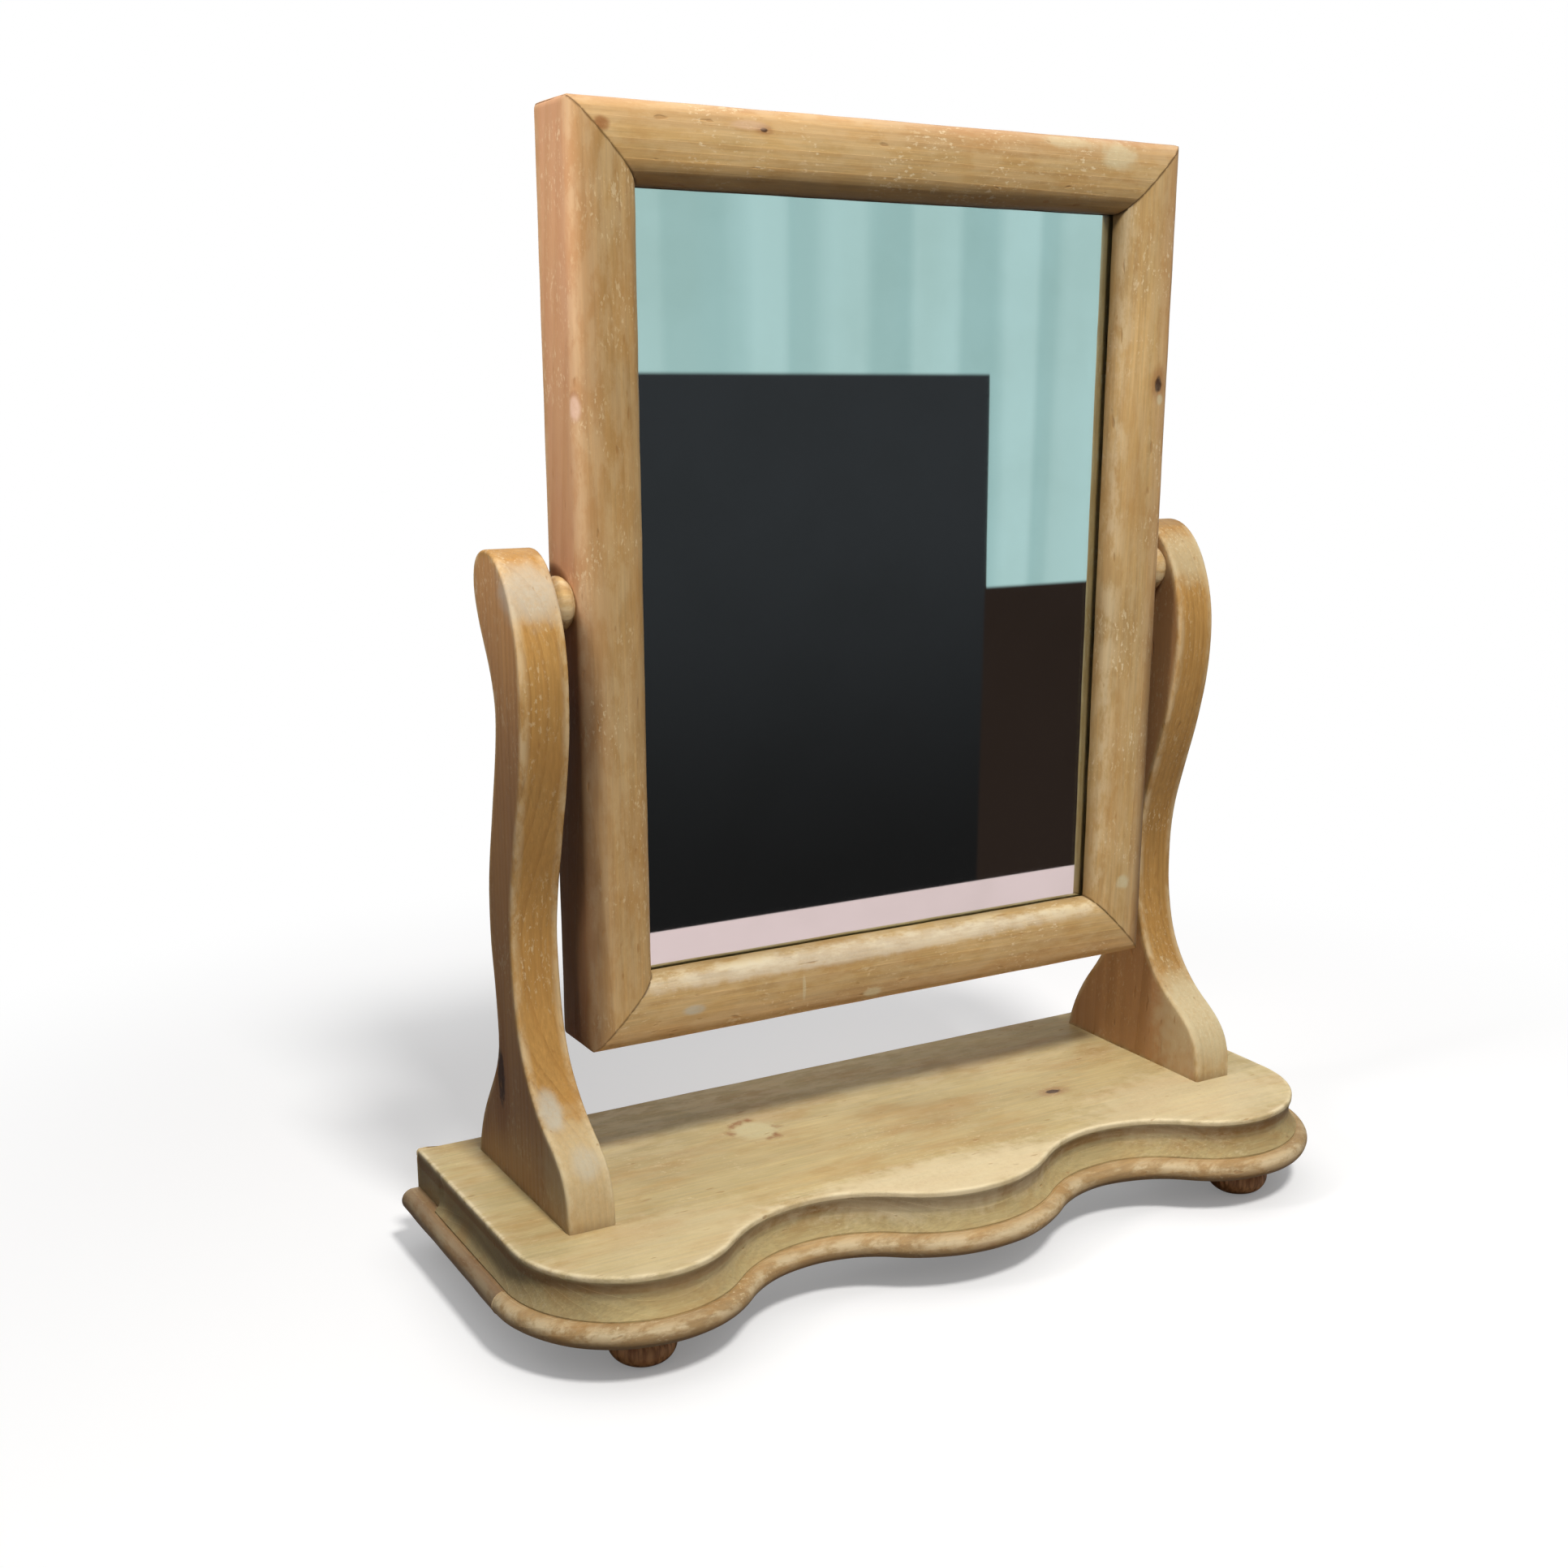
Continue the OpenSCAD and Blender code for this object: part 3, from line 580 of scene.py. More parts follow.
def mirror_glass():
    made, t = new_material("old_mirror_glass")
    smear = t.noise(t.vector("MULTIPLY", t.place(), (1, 1, 2.5)), 9.0, 4.0)
    t.principled({
        "Base Color": (0.93, 0.98, 0.96, 1), "Transmission Weight": 1.0, "IOR": 1.5,
        "Roughness": t.math("MULTIPLY", t.ramp(smear, 0.5, 0.75), 0.012),
    })
    return made


def silver_backing():
    made, t = new_material("silvering")
    cloudy = t.ramp(t.noise(t.place(), 14.0, 4.0), 0.35, 0.75)
    t.principled({
        "Base Color": t.mix(cloudy, (0.86, 0.88, 0.87, 1), (0.80, 0.82, 0.80, 1)),
        "Metallic": 1.0, "Roughness": 0.015,
    })
    return made


def board_section():
    """Section of the board's edge, from its top down to its underside, as
    (outward, up) with its marks."""
    top = BOARD_T
    rows = [((RIM_IN, top), (0.1, 0)), ((-6, top), (0.2, 0)), ((-3, top), (0.4, 0))]
    rows += [
        (p, (0.95, 0)) for p in arc((-EDGE_ROUND, top - EDGE_ROUND), EDGE_ROUND, 90, 0, 4)
    ]
    # Grime just under the square edge and fading down the cove, with the board's darker flush tint
    # there: partly painted shade under the overhang and in the hollow
    rows += [((0, COVE_TOP + 0.8), (0.45, 0.15)), ((-0.25, COVE_TOP + 0.25), (0.1, 0.65))]
    start = math.degrees(math.acos(-COVE.x / COVE_R))
    end = 180 + math.degrees(math.asin((COVE.y - COVE_FOOT) / COVE_R))
    for i, p in enumerate(arc(COVE, COVE_R, start, end, 14)[1:]):
        rows.append((p, (0.0, max(0.5 - 0.06 * i, 0.1), 1.0)))
    rows += [((COVE_OUT + 0.9, 0), (0, 0.05, 0.6)), ((RIM_IN, 0), (0, 0.2))]
    return rows


def flare(z):
    """How far the cove stands out from the square edge at height z."""
    if z >= COVE_TOP:
        return 0
    return COVE.x - math.sqrt(COVE_R**2 - (max(z, COVE_FOOT) - COVE.y) ** 2)


def serpentine(work, edges):
    """Carries a chain from the right lobe's side round to the front's middle."""
    up = (0, 0, 1)
    edges = work.sweep(edges, LOBE, up, LOBE_TURN, 34)
    edges = work.sweep(edges, HOLLOW, up, HOLLOW_TURN, 26)
    return work.sweep(edges, SWELL, up, SWELL_TURN, 14)


def long_edge(work, place_a, place_b, count):
    """A row of edges between two open corners."""
    def nearest(place):
        return min(work.bm.verts, key=lambda v: (v.co - Vector(place)).length)
    start, end = nearest(place_a), nearest(place_b)
    edge = work.bm.edges.new((start, end))
    bmesh.ops.subdivide_edges(work.bm, edges=[edge], cuts=count)


def paint_shade_on_left_end(work, top):
    """Painted shade on the left end, below the given height, darker towards the end."""
    for v in work.bm.verts:
        if v.co.z < top:
            v[work.grime] = max(v[work.grime], 0.66 * share(v.co.x, -235, -280))


def coved_board():
    work = Work()
    rows = board_section()
    points = []
    for (out, z), marks in rows:
        square = out if z >= COVE_TOP or out <= RIM_IN else 0
        points.append(((HALF_W + square, BACK_Y, z), marks if z > 15 else (0, 0.3)))
    edges = work.chain(points)
    edges = work.push(edges, (0, -BLOCK_LEN, 0), 13)
    edges = work.push(edges, (0, -BLOCK_SLOPE, 0), 1)
    # Where the cove dies into the end block: painted shade in that corner
    for v in {v for e in edges for v in e.verts}:
        if v.co.x > HALF_W - 1 and v.co.z < COVE_TOP + 0.5:
            v.co.x = HALF_W + flare(v.co.z)
            v[work.grime] = 0.55 if v.co.z > 12 else 0.25
    side = BACK_Y - BLOCK_LEN - BLOCK_SLOPE - LOBE.y
    edges = work.push(edges, (0, -side, 0), 38)
    serpentine(work, edges)
    work.mirror_x()
    corner = HALF_W + RIM_IN
    for z in (0, BOARD_T):
        long_edge(work, (corner, BACK_Y, z), (-corner, BACK_Y, z), 29)
        work.cap(Z, z)
    work.cap(Y, BACK_Y)
    work.soften(work.corners(Y, BACK_Y), 0.8, 2, wear=0.6)
    work.transform(Matrix.Translation((0, 0, BOARD_Z)))
    work.unevenness(0.22, 34, 1)
    work.dent((-HALF_W, 84, TOP_Z), 5, 1.6)
    paint_shade_on_left_end(work, TOP_Z - 2.5)
    material = pine(
        "pine_board", "X", (0, 0.02, -0.16), (0.35, 0.0, 0.0), ring=0.0048, warp=0.02,
        figure=0.22, specks=0.45, early=srgb(198, 178, 128), late=srgb(164, 130, 80),
        tint=srgb(156, 108, 50),
        knots=[((0.1263, -0.0038, 0.065), (0.007, 0.0038, 0.006))],
        patches=[
            ((-0.0871, 0.0401, 0.065), (0.0160, 0.0160, 0.02), 0.28, 0.75, BARE, 0.85),
            ((-0.030, -0.085, 0.065), (0.13, 0.030, 0.02), 0.5, 0.75, PALE, 0),
            ((-0.20, -0.080, 0.065), (0.09, 0.042, 0.02), 0.5, 0.3, PALE, 0),
            ((0.20, -0.060, 0.065), (0.09, 0.05, 0.02), 0.5, 0.5, PALE, 0),
            ((-0.2905, 0.0765, 0.062), (0.002, 0.0012, 0.006), 0.2, 0.8, PALE, 0),
        ],
    )
    work.finish("coved_board", "stand", "pine", material, "base_board")


def bead_section(inner):
    """Section of the plinth's round edge, in the same form."""
    r = PLINTH_T / 2
    rows = [((inner, PLINTH_T), (0, 0.2)), ((COVE_OUT + 1.2, PLINTH_T), (0.15, 0.05)),
            ((LIP - r + 1.4, PLINTH_T), (0.4, 0))]
    # Wear peaks on the bead's upper round, partly a painted highlight; grime grows towards its
    # underside, partly painted shade
    for i, p in enumerate(arc((LIP - r, r), r, 78, -90, 14)):
        rows.append((p, (max(0.7 - abs(i - 4) * 0.14, 0), min(max(i - 6, 0) * 0.09, 0.7))))
    rows += [((COVE_OUT, 0), (0, 0.55)), ((inner, 0), (0, 0.5))]
    return rows


def plinth_front():
    work = Work()
    edges = work.chain([
        ((HALF_W + out, LOBE.y, z), marks) for (out, z), marks in bead_section(RIM_IN)
    ])
    serpentine(work, edges)
    work.mirror_x()
    corner = HALF_W + RIM_IN
    for z in (0, PLINTH_T):
        long_edge(work, (corner, LOBE.y, z), (-corner, LOBE.y, z), 9)
        work.cap(Z, z)
    work.cap(Y, LOBE.y)
    work.soften(work.corners(Y, LOBE.y), 0.3, 1)
    work.transform(Matrix.Translation((0, 0, FOOT_H)))
    work.unevenness(0.3, 28, 2)
    material = pine(
        "pine_plinth_front", "X", (0, 0.05, -0.09), (0.9, 0.2, 0.1), ring=0.004,
        figure=0.3, specks=0.8, early=srgb(177, 144, 98), late=srgb(138, 98, 57),
        knots=[((-0.012, -0.127, 0.033), (0.006, 0.006, 0.004))],
    )
    work.finish("plinth_front_strip", "stand", "pine", material, "plinth_front")


def plinth_side(side, name, seed):
    work = Work()
    edges = work.chain([
        ((side * (HALF_W + out), BACK_Y, z), marks)
        for (out, z), marks in bead_section(-SIDE_STRIP_W)
    ], closed=True)
    work.push(edges, (0, LOBE.y - BACK_Y, 0), 40)
    for y in (BACK_Y, LOBE.y):
        work.cap(Y, y)
    work.soften(work.corners(Y, BACK_Y), 0.8, 2, wear=0.6)
    work.transform(Matrix.Translation((0, 0, FOOT_H)))
    work.unevenness(0.3, 28, seed)
    if side < 0:
        work.dent((-HALF_W - LIP, -35.5, FOOT_H + 10), 4, 1.2)
        paint_shade_on_left_end(work, TOP_Z)
    material = pine(
        "pine_" + name, "Y", (0, -0.06, 0.05), (0.3 * seed, 0.1, 0.0), ring=0.0045,
        figure=0.3, specks=0.6, flush=0.25, early=srgb(190, 156, 108),
        late=srgb(146, 104, 60),
    )
    work.finish(name + "_strip", "stand", "pine", material, name)


def plinth_back():
    inner = HALF_W - SIDE_STRIP_W
    work = Work()
    size = Vector((2 * inner, BACK_STRIP_W, PLINTH_T))
    bmesh.ops.create_cube(work.bm, size=1)
    work.transform(
        Matrix.Translation((0, BACK_Y - BACK_STRIP_W / 2, FOOT_H + PLINTH_T / 2))
        @ Matrix.Diagonal((*size, 1))
    )
    work.soften(work.bm.edges[:], 0.6, 2, wear=0.5)
    long = [e for e in work.bm.edges if abs(e.verts[0].co.x - e.verts[1].co.x) > 100]
    bmesh.ops.subdivide_edges(work.bm, edges=long, cuts=30, use_grid_fill=True)
    work.unevenness(0.25, 40, 7)
    material = pine("pine_plinth_back", "X", (0, 0.0, -0.07), (0.1, 0.4, 0.0), figure=0.4)
    work.finish("plinth_back_strip", "stand", "pine", material, "plinth_back")


def bun_foot(name, x, y):
    work = Work()
    foot_r, collar_h, collar_r = 20.5, 3, 14.5
    bun_r = (FOOT_H - collar_h) / 2 + 1
    belly = foot_r - bun_r
    rows = [((0, 0), (0.5,)), ((belly - 2, 0), (0.6,)), ((belly, 0.3), (0.6,))]
    rows += [(p, (0.5 if 3 < i < 9 else 0.1,))
             for i, p in enumerate(arc((belly, bun_r), bun_r, -84, 60, 18))]
    rows += [((collar_r - 1.6, FOOT_H - collar_h), (0,))]
    rows += [(p, (0.3,)) for p in arc((collar_r - 1.2, FOOT_H - 1.6), 1.2, -80, 80, 5)]
    rows += [((collar_r - 2, FOOT_H - 0.05), (0,)), ((0, FOOT_H - 0.05), (0,))]
    edges = work.chain([((x + out, y, up), marks) for (out, up), marks in rows])
    work.turn(edges, (x, y, 0), (0, 0, 1), 72)
    work.unevenness(0.15, 12, x + y)
    for v in work.bm.verts:
        v.co.z = max(v.co.z, 0.02)  # stands on the floor, not in it
    work.finish(name + "_bun", "stand", "dark_wood", FOOT_WOOD, name)


def upright_outline():
    """Side outline of an upright as (depth, height) from under the pivot."""
    toe, heel, head = -TOE_LEN, HEEL_LEN, PIVOT_H + HEAD_H
    instep, belly, waist = (30 + toe, 51), (-30, PIVOT_H - 45), (11, PIVOT_H - 62)
    crest, nape = (16.5, head), (37, head - 22)
    runs = [
        ([(toe, 0), (toe, 30), (9.9 + toe, 37.9), instep], 12),
        ([instep, (-8.8, 73.9), (-0.5, 110), (-0.5, 155)], 16),
        ([(-0.5, 155), (-0.5, 205), (-30, PIVOT_H - 110), belly], 18),
        ([belly, (-30, PIVOT_H - 5), (-8.5, head), crest], 18),
        ([crest, (30.5, head), (37, head - 8), nape], 12),
        ([nape, (37, head - 42), (11, PIVOT_H - 35), waist], 14),
        ([waist, (11, PIVOT_H - 95), (35, 210), (35, 165)], 16),
        ([(35, 165), (35, 140), (28.5, 115), (28.5, 92)], 9),
        ([(28.5, 92), (28.5, 58), (heel - 8.8, 45.2), (heel, 0)], 12),
    ]
    points = [Vector((toe, 0))]
    for curve, count in runs:
        points += cubic(curve, count)
    return points


def upright(side, name, seed, **looks):
    work = Work()
    near = side * UPRIGHT_X
    points = [((near, PIVOT_Y + p.x, TOP_Z + p.y), ()) for p in upright_outline()]
    edges = work.chain(points, closed=True)
    work.push(edges, (side * UPRIGHT_T, 0, 0), 5)
    for x in (near, near + side * UPRIGHT_T):
        work.cap(X, x)
    arrises = [
        e for e in work.bm.edges
        if e.calc_face_angle(0) > 0.5 and abs(e.verts[0].co.x - e.verts[1].co.x) < 0.001
        and max(v.co.z for v in e.verts) > TOP_Z + 0.5
    ]
    work.soften(arrises, ARRIS, 3, wear=0.45)
    flats = [f for f in work.bm.faces if len(f.verts) > 60]
    bmesh.ops.inset_region(
        work.bm, faces=flats, thickness=3.0, depth=0, use_boundary=True,
        use_even_offset=True,
    )
    for f in work.bm.faces:
        if len(f.verts) > 60:
            work.mark(f.verts, wear=0, flush=0.75)
            # Painted shade: the left upright's faces darken towards the bottom, and the right
            # upright's inner face darkens towards its head, beside the frame
            for v in f.verts:
                if v.co.x < 0:
                    v[work.grime] = 0.42 * share(v.co.z, SIDE_SHADE_FROM, SIDE_SHADE_FULL)
                elif v.co.x < UPRIGHT_X + 5:
                    v[work.grime] = 0.1 + 0.35 * share(v.co.z, PIVOT_Z - 110, PIVOT_Z - 30)
                else:
                    v[work.grime] = 0
    foot = [v for v in work.bm.verts if v.co.z < TOP_Z + 2.5]
    work.mark(foot, grime=0.45)
    crest = [v for v in work.bm.verts if v.co.z > PIVOT_Z + HEAD_H - 4]
    work.mark(crest, wear=0.1, grime=0.3)
    work.unevenness(0.3, 30, seed)
    material = pine("pine_" + name, "Z", ring=0.0042, warp=0.008, figure=0.3, specks=0.6,
                    early=srgb(186, 142, 80), late=srgb(138, 90, 40),
                    tint=srgb(198, 151, 117), **looks)
    work.finish(name + "_s", "stand", "pine", material, name)


def mould_section(shade, rub_and_sheen):
    """Section of the frame moulding as (inward, forward) with its marks. Shade
    is painted shade on its inner round, and rub is the wear there, which on the
    bottom rail is a painted highlight."""
    outer_r, inner_r, crown_r, crown_u = 9.5, 15, 60, 20
    crown_y = MOULD_T - crown_r
    inner_u = MOULD_W - inner_r
    outer_y = crown_y + math.sqrt((crown_r - outer_r)**2 - (crown_u - outer_r)**2)
    inner_y = crown_y + math.sqrt((crown_r - inner_r)**2 - (inner_u - crown_u)**2)
    outer_a = math.degrees(math.atan2(outer_y - crown_y, outer_r - crown_u))
    inner_a = math.degrees(math.atan2(inner_y - crown_y, inner_u - crown_u))
    rows = [((0.6, 0), (0.3, 0.2, 0.4)), ((0, 0.6), (0.3, 0.1, 0.6))]
    rows += [((0, y), (0.05, 0, 1)) for y in (7, 14, 21, 28, 33)]
    outer = arc((outer_r, outer_y), outer_r, 180, outer_a, 8)
    rows += [(p, (0.12 + 0.04 * min(i, 8 - i), 0, 1 - 0.08 * i)) for i, p in enumerate(outer)]
    crown = arc((crown_u, crown_y), crown_r, outer_a, inner_a, 9)[1:-1]
    rows += [(p, (0.18, 0, max(0.3 - 0.1 * i, 0))) for i, p in enumerate(crown)]
    inner = arc((inner_u, inner_y), inner_r, inner_a, 0, 12)
    rows += [(p, (max(0.12, rub_and_sheen * (1 - abs(i - 6) / 7)), shade * (i / 12)**1.5, 0))
             for i, p in enumerate(inner)]
    # Grime at the sight edge and in the rebate: partly painted shade in the gap beside the glass
    rows += [((MOULD_W, REBATE_D + 0.5), (0, 0.1 + shade, 0)),
             ((MOULD_W - 0.5, REBATE_D), (0, 0.3 + shade, 0)),
             ((MOULD_W - REBATE_W, REBATE_D), (0, 0.5, 0)),
             ((MOULD_W - REBATE_W, 0), (0, 0.3, 0)), ((20, 0), (0, 0.1, 0))]
    return rows


def round_corners(work, radius):
    """Rounds the frame's four outer corners, as seen from the front."""
    for v in work.bm.verts:
        x, z = v.co.x, v.co.z - PIVOT_Z
        over = Vector((abs(x) - FRAME_W / 2 + radius, abs(z) - FRAME_H / 2 + radius))
        if min(over) > 0 and over.length > radius:
            pull = over * (radius / over.length - 1)
            v.co.x += math.copysign(1, x) * pull.x
            v.co.z += math.copysign(1, z) * pull.y


def frame_bar(name, turn, length, reach, seed, shade=0.1, rub_and_sheen=0.12, **looks):
    """One side of the frame, mitred, its outer edge up before it is turned."""
    work = Work()
    count = round(length / 8)
    half = length / 2
    edges = work.chain(
        [((-half, -y, -x), marks) for (x, y), marks in mould_section(shade, rub_and_sheen)], closed=True
    )
    work.push(edges, (length, 0, 0), count)
    for end in (-1, 1):
        cuts = [(half - deep, (1, 0, 0)) for deep in (4.5, 3, 1.5)]
        cuts += [(half - 1.6, (end, 0, -1)), (half, (end, 0, -1))]
        for at, normal in cuts:
            cut = bmesh.ops.bisect_plane(
                work.bm, geom=work.bm.verts[:] + work.bm.edges[:] + work.bm.faces[:],
                dist=0.0001, plane_co=(end * at, 0, 0), plane_no=normal,
                clear_outer=at == half,
            )["geom_cut"]
        rim = [g for g in cut if isinstance(g, bmesh.types.BMEdge)]
        bmesh.ops.contextual_create(work.bm, geom=rim)
        joint = work.soften(rim, 0.4, 1)
        work.mark(joint["verts"], wear=0, grime=0.95)
    work.transform(
        Matrix.Translation((0, FRAME_Y, PIVOT_Z)) @ Matrix.Rotation(math.radians(turn), 4, "Y")
        @ Matrix.Translation((0, 0, reach))
    )
    round_corners(work, CORNER_R)
    if turn % 180:  # painted shade low on the outer sides, beside the uprights
        for v in work.bm.verts:
            outside = share(abs(v.co.x), 200, 208)
            beside = share(v.co.z, SIDE_SHADE_FROM, SIDE_SHADE_FULL + 20) * outside
            v[work.grime] = max(v[work.grime], 0.8 * beside)
    work.unevenness(0.25, 26, seed)
    grain = "X" if turn % 180 == 0 else "Z"
    material = pine("pine_" + name, grain, **looks)
    work.finish(name + "_moulding", "mirror", "pine", material, name)


def boss(side, name):
    work = Work()
    near = side * STILE_X
    inner = PIN_R + 0.03
    rows = [((inner, 0), (0, 0.6)), ((BOSS_R - 3, 0), (0, 0.5))]
    half_t = BOSS_T / 2
    rows += [(p, (0.5, 0)) for p in arc((BOSS_R - half_t, half_t), half_t, -60, 60, 12)]
    rows += [((BOSS_R - 3, BOSS_T), (0.1, 0.4)), ((inner, BOSS_T), (0, 0.6))]
    edges = work.chain([
        ((near + side * out, PIVOT_Y, PIVOT_Z + up), marks) for (up, out), marks in rows
    ], closed=True)
    work.turn(edges, (near, PIVOT_Y, PIVOT_Z), (1, 0, 0), 64)
    material = pine("pine_" + name, "X", (0, 0.2, 0), (0.2, 0, 0), figure=0.5, specks=0.3)
    work.finish(name + "_turned", "mirror", "pine", material, name)


def slotted_heads(name, body, slot, material, places, radius, *nodes):
    """Round screw heads that face backwards, their rims rounded, each with its slot."""
    work = Work()
    for number, place in enumerate(places):
        one = bmesh.new()
        bmesh.ops.create_circle(one, cap_ends=True, segments=28, radius=radius)
        faces = one.faces[:]
        out = bmesh.ops.extrude_face_region(one, geom=faces)["geom"]
        top = [g for g in out if isinstance(g, bmesh.types.BMVert)]
        bmesh.ops.translate(one, vec=(0, 0, 1.2), verts=top)
        rim = [e for e in one.edges if all(v.co.z > 1 for v in e.verts)]
        bmesh.ops.bevel(one, geom=rim, offset=radius * 0.12, segments=2, profile=0.5,
                        affect="EDGES", material=-1)
        for end in (-1, 1):
            bmesh.ops.bisect_plane(
                one, geom=one.verts[:] + one.edges[:] + one.faces[:], dist=0.0001,
                plane_co=(0, end * radius * 0.13, 0), plane_no=(0, 1, 0),
            )
        slot_faces = [
            f for f in one.faces
            if f.normal.z > 0.9 and abs(f.calc_center_median().y) < radius * 0.12
        ]
        sunk = bmesh.ops.extrude_face_region(one, geom=slot_faces)["geom"]
        low = [g for g in sunk if isinstance(g, bmesh.types.BMVert)]
        bmesh.ops.translate(one, vec=(0, 0, -0.7), verts=low)
        bmesh.ops.delete(one, geom=slot_faces, context="FACES")
        spin = Matrix.Rotation(number * 1.13 + 0.4, 4, "Z")
        backwards = Matrix.Rotation(math.radians(-90), 4, "X")
        bmesh.ops.transform(one, matrix=Matrix.Translation(place) @ backwards @ spin,
                            verts=one.verts[:])
        mesh = bpy.data.meshes.new("head")
        one.to_mesh(mesh)
        one.free()
        work.bm.from_mesh(mesh)
        bpy.data.meshes.remove(mesh)
    work.finish(name, body, slot, material, *nodes)


FOOT_WOOD = turned_wood("foot_wood", srgb(164, 110, 66), srgb(232, 176, 122))

coved_board()
plinth_front()
plinth_side(-1, "plinth_left", 3)
plinth_side(1, "plinth_right", 4)
plinth_back()
foot_x = HALF_W - FOOT_IN_X
for across, label_x in ((-foot_x, "left"), (foot_x, "right")):
    for deep, label_y in ((LOBE_Y + FOOT_IN_Y, "front"), (BACK_Y - FOOT_IN_Y, "back")):
        bun_foot(f"foot_{label_y}_{label_x}", across, deep)

upright(
    -1, "left_upright", 5, pith=(0, -0.30, 0.02), shift=(0.2, 0.0, 0.05),
    knots=[((-0.256, 0.058, 0.130), (0.010, 0.007, 0.024))],
    # The bloom and cream patches on the head front and the toe are partly painted highlights
    patches=[
        ((-0.241, 0.006, 0.433), (0.026, 0.03, 0.022), 0.3, 0.7, BLOOM_AND_SHEEN, 0),
        ((-0.238, -0.030, 0.095), (0.026, 0.036, 0.050), 0.3, 0.5, CREAM, 0),
        ((-0.247, -0.002, 0.128), (0.008, 0.016, 0.015), 0.25, 0.75, BLOOM_AND_SHEEN, 0),
        ((-0.238, -0.032, 0.104), (0.010, 0.014, 0.011), 0.3, 0.5, BLOOM_AND_SHEEN, 0),
    ],
)
upright(
    1, "right_upright", 6, pith=(0, 0.26, -0.03), shift=(1.2, 0.3, 0.0),
    # The cream patches on the head and the toe are partly painted highlights
    patches=[
        ((0.241, 0.006, 0.430), (0.022, 0.03, 0.022), 0.35, 0.5, CREAM, 0),
        ((0.242, -0.022, 0.105), (0.026, 0.036, 0.060), 0.35, 0.7, CREAM, 0),
    ],
)

# The top rail's heavy shade is painted shade on its underside
frame_bar(
    "top_rail", 0, FRAME_W, FRAME_H / 2, 8, pith=(0, 0.0, 0.58), shift=(0.5, 0.0, 0.0),
    ring=0.005, figure=0.24, specks=0.9, shade=0.95,
    knots=[((-0.095, 0.011, 0.677), (0.003, 0.006, 0.0015))],
    patches=[((-0.104, 0.011, 0.679), (0.012, 0.02, 0.0028), 0.3, 0.6, srgb(214, 180, 150), 0),
             ((-0.194, 0.011, 0.674), (0.005, 0.01, 0.004), 0.4, 0.8, KNOT_HALO, 0),
             ((0.160, 0.011, 0.678), (0.014, 0.02, 0.009), 0.5, 0.6, CREAM, 0),
             ((0.120, 0.011, 0.684), (0.02, 0.02, 0.004), 0.6, 0.5, CREAM, 0)],
)
# The bottom rail's strong rub and its long pale patch are a painted highlight on its upward inner
# round, partly wear
frame_bar(
    "bottom_rail", 180, FRAME_W, FRAME_H / 2, 9, pith=(0, 0.0, 0.05), shift=(1.7, 0.0, 0.0),
    ring=0.0055, figure=0.22, specks=0.8, rub_and_sheen=0.9,
    patches=[((-0.146, 0.011, 0.169), (0.008, 0.02, 0.0034), 0.2, 0.7, BLOOM_AND_SHEEN, 0),
             ((-0.02, 0.005, 0.187), (0.19, 0.03, 0.006), 0.5, 0.5, srgb(224, 216, 198), 0),
             ((-0.015, 0.011, 0.158), (0.007, 0.02, 0.0034), 0.2, 0.7, CREAM, 0),
             ((-0.0675, 0.011, 0.170), (0.0013, 0.02, 0.008), 0.3, 0.55, CREAM, 0)],
)
frame_bar(
    "left_stile", -90, FRAME_H, FRAME_W / 2, 10, pith=(0, -0.26, 0.0), shift=(2.3, 0.0, 0.0),
    ring=0.0045, figure=0.26, specks=0.7, early=srgb(184, 148, 96), late=srgb(144, 100, 54),
    patches=[
        ((-0.2125, 0.014, 0.528), (0.0035, 0.006, 0.008), 0.2, 0.7, srgb(226, 196, 176), 0.3),
    ],
)
frame_bar(
    "right_stile", 90, FRAME_H, FRAME_W / 2, 11, pith=(0, 0.30, 0.0), shift=(3.1, 0.0, 0.0),
    ring=0.0045, figure=0.26, specks=0.95, rub_and_sheen=0.55,
    knots=[((0.2005, 0.011, 0.541), (0.004, 0.012, 0.006))],
    patches=[((0.1915, 0.011, 0.205), (0.006, 0.02, 0.005), 0.6, 0.75, CREAM, 0),
             ((0.2025, 0.011, 0.531), (0.003, 0.02, 0.004), 0.4, 0.7, CREAM, 0)],
)
boss(-1, "left_boss")
boss(1, "right_boss")

BRASS = metal("old_brass", srgb(186, 148, 82), srgb(112, 82, 46), 0.3)
STEEL = metal("old_steel", srgb(120, 112, 104), srgb(70, 54, 44), 0.45)
screw_x = (REBATE_CLEAR_W + BACKBOARD_LAP) / 2
screw_z = (REBATE_CLEAR_H + BACKBOARD_LAP) / 2
head_y = FRAME_Y + BACKBOARD_T - SCREW_HEAD_SINK
back_places = [
    (side * screw_x, head_y, PIVOT_Z + part * screw_z)
    for side in (-1, 1) for part in (-0.9, -0.3, 0.3, 0.9)
] + [(0, head_y, PIVOT_Z + side * screw_z) for side in (-1, 1)]
slotted_heads("backboard_screw_heads", "mirror", "brass", BRASS, back_places, SCREW_HEAD_R,
              "backboard_screws")


def glass_plate():
    """Sheet of glass with ground edges, just clear of the silvering behind it."""
    work = Work()
    bmesh.ops.create_cube(work.bm, size=1)
    front = FRAME_Y - REBATE_D
    back = front + GLASS_T - GLASS_GAP
    work.transform(
        Matrix.Translation((0, (front + back) / 2, PIVOT_Z))
        @ Matrix.Diagonal((REBATE_CLEAR_W - 1, back - front, REBATE_CLEAR_H - 1, 1))
    )
    work.soften(work.bm.edges[:], 0.6, 2)
    work.finish("mirror_plate", "mirror", "glass", mirror_glass(), "mirror_glass", sharp=10)


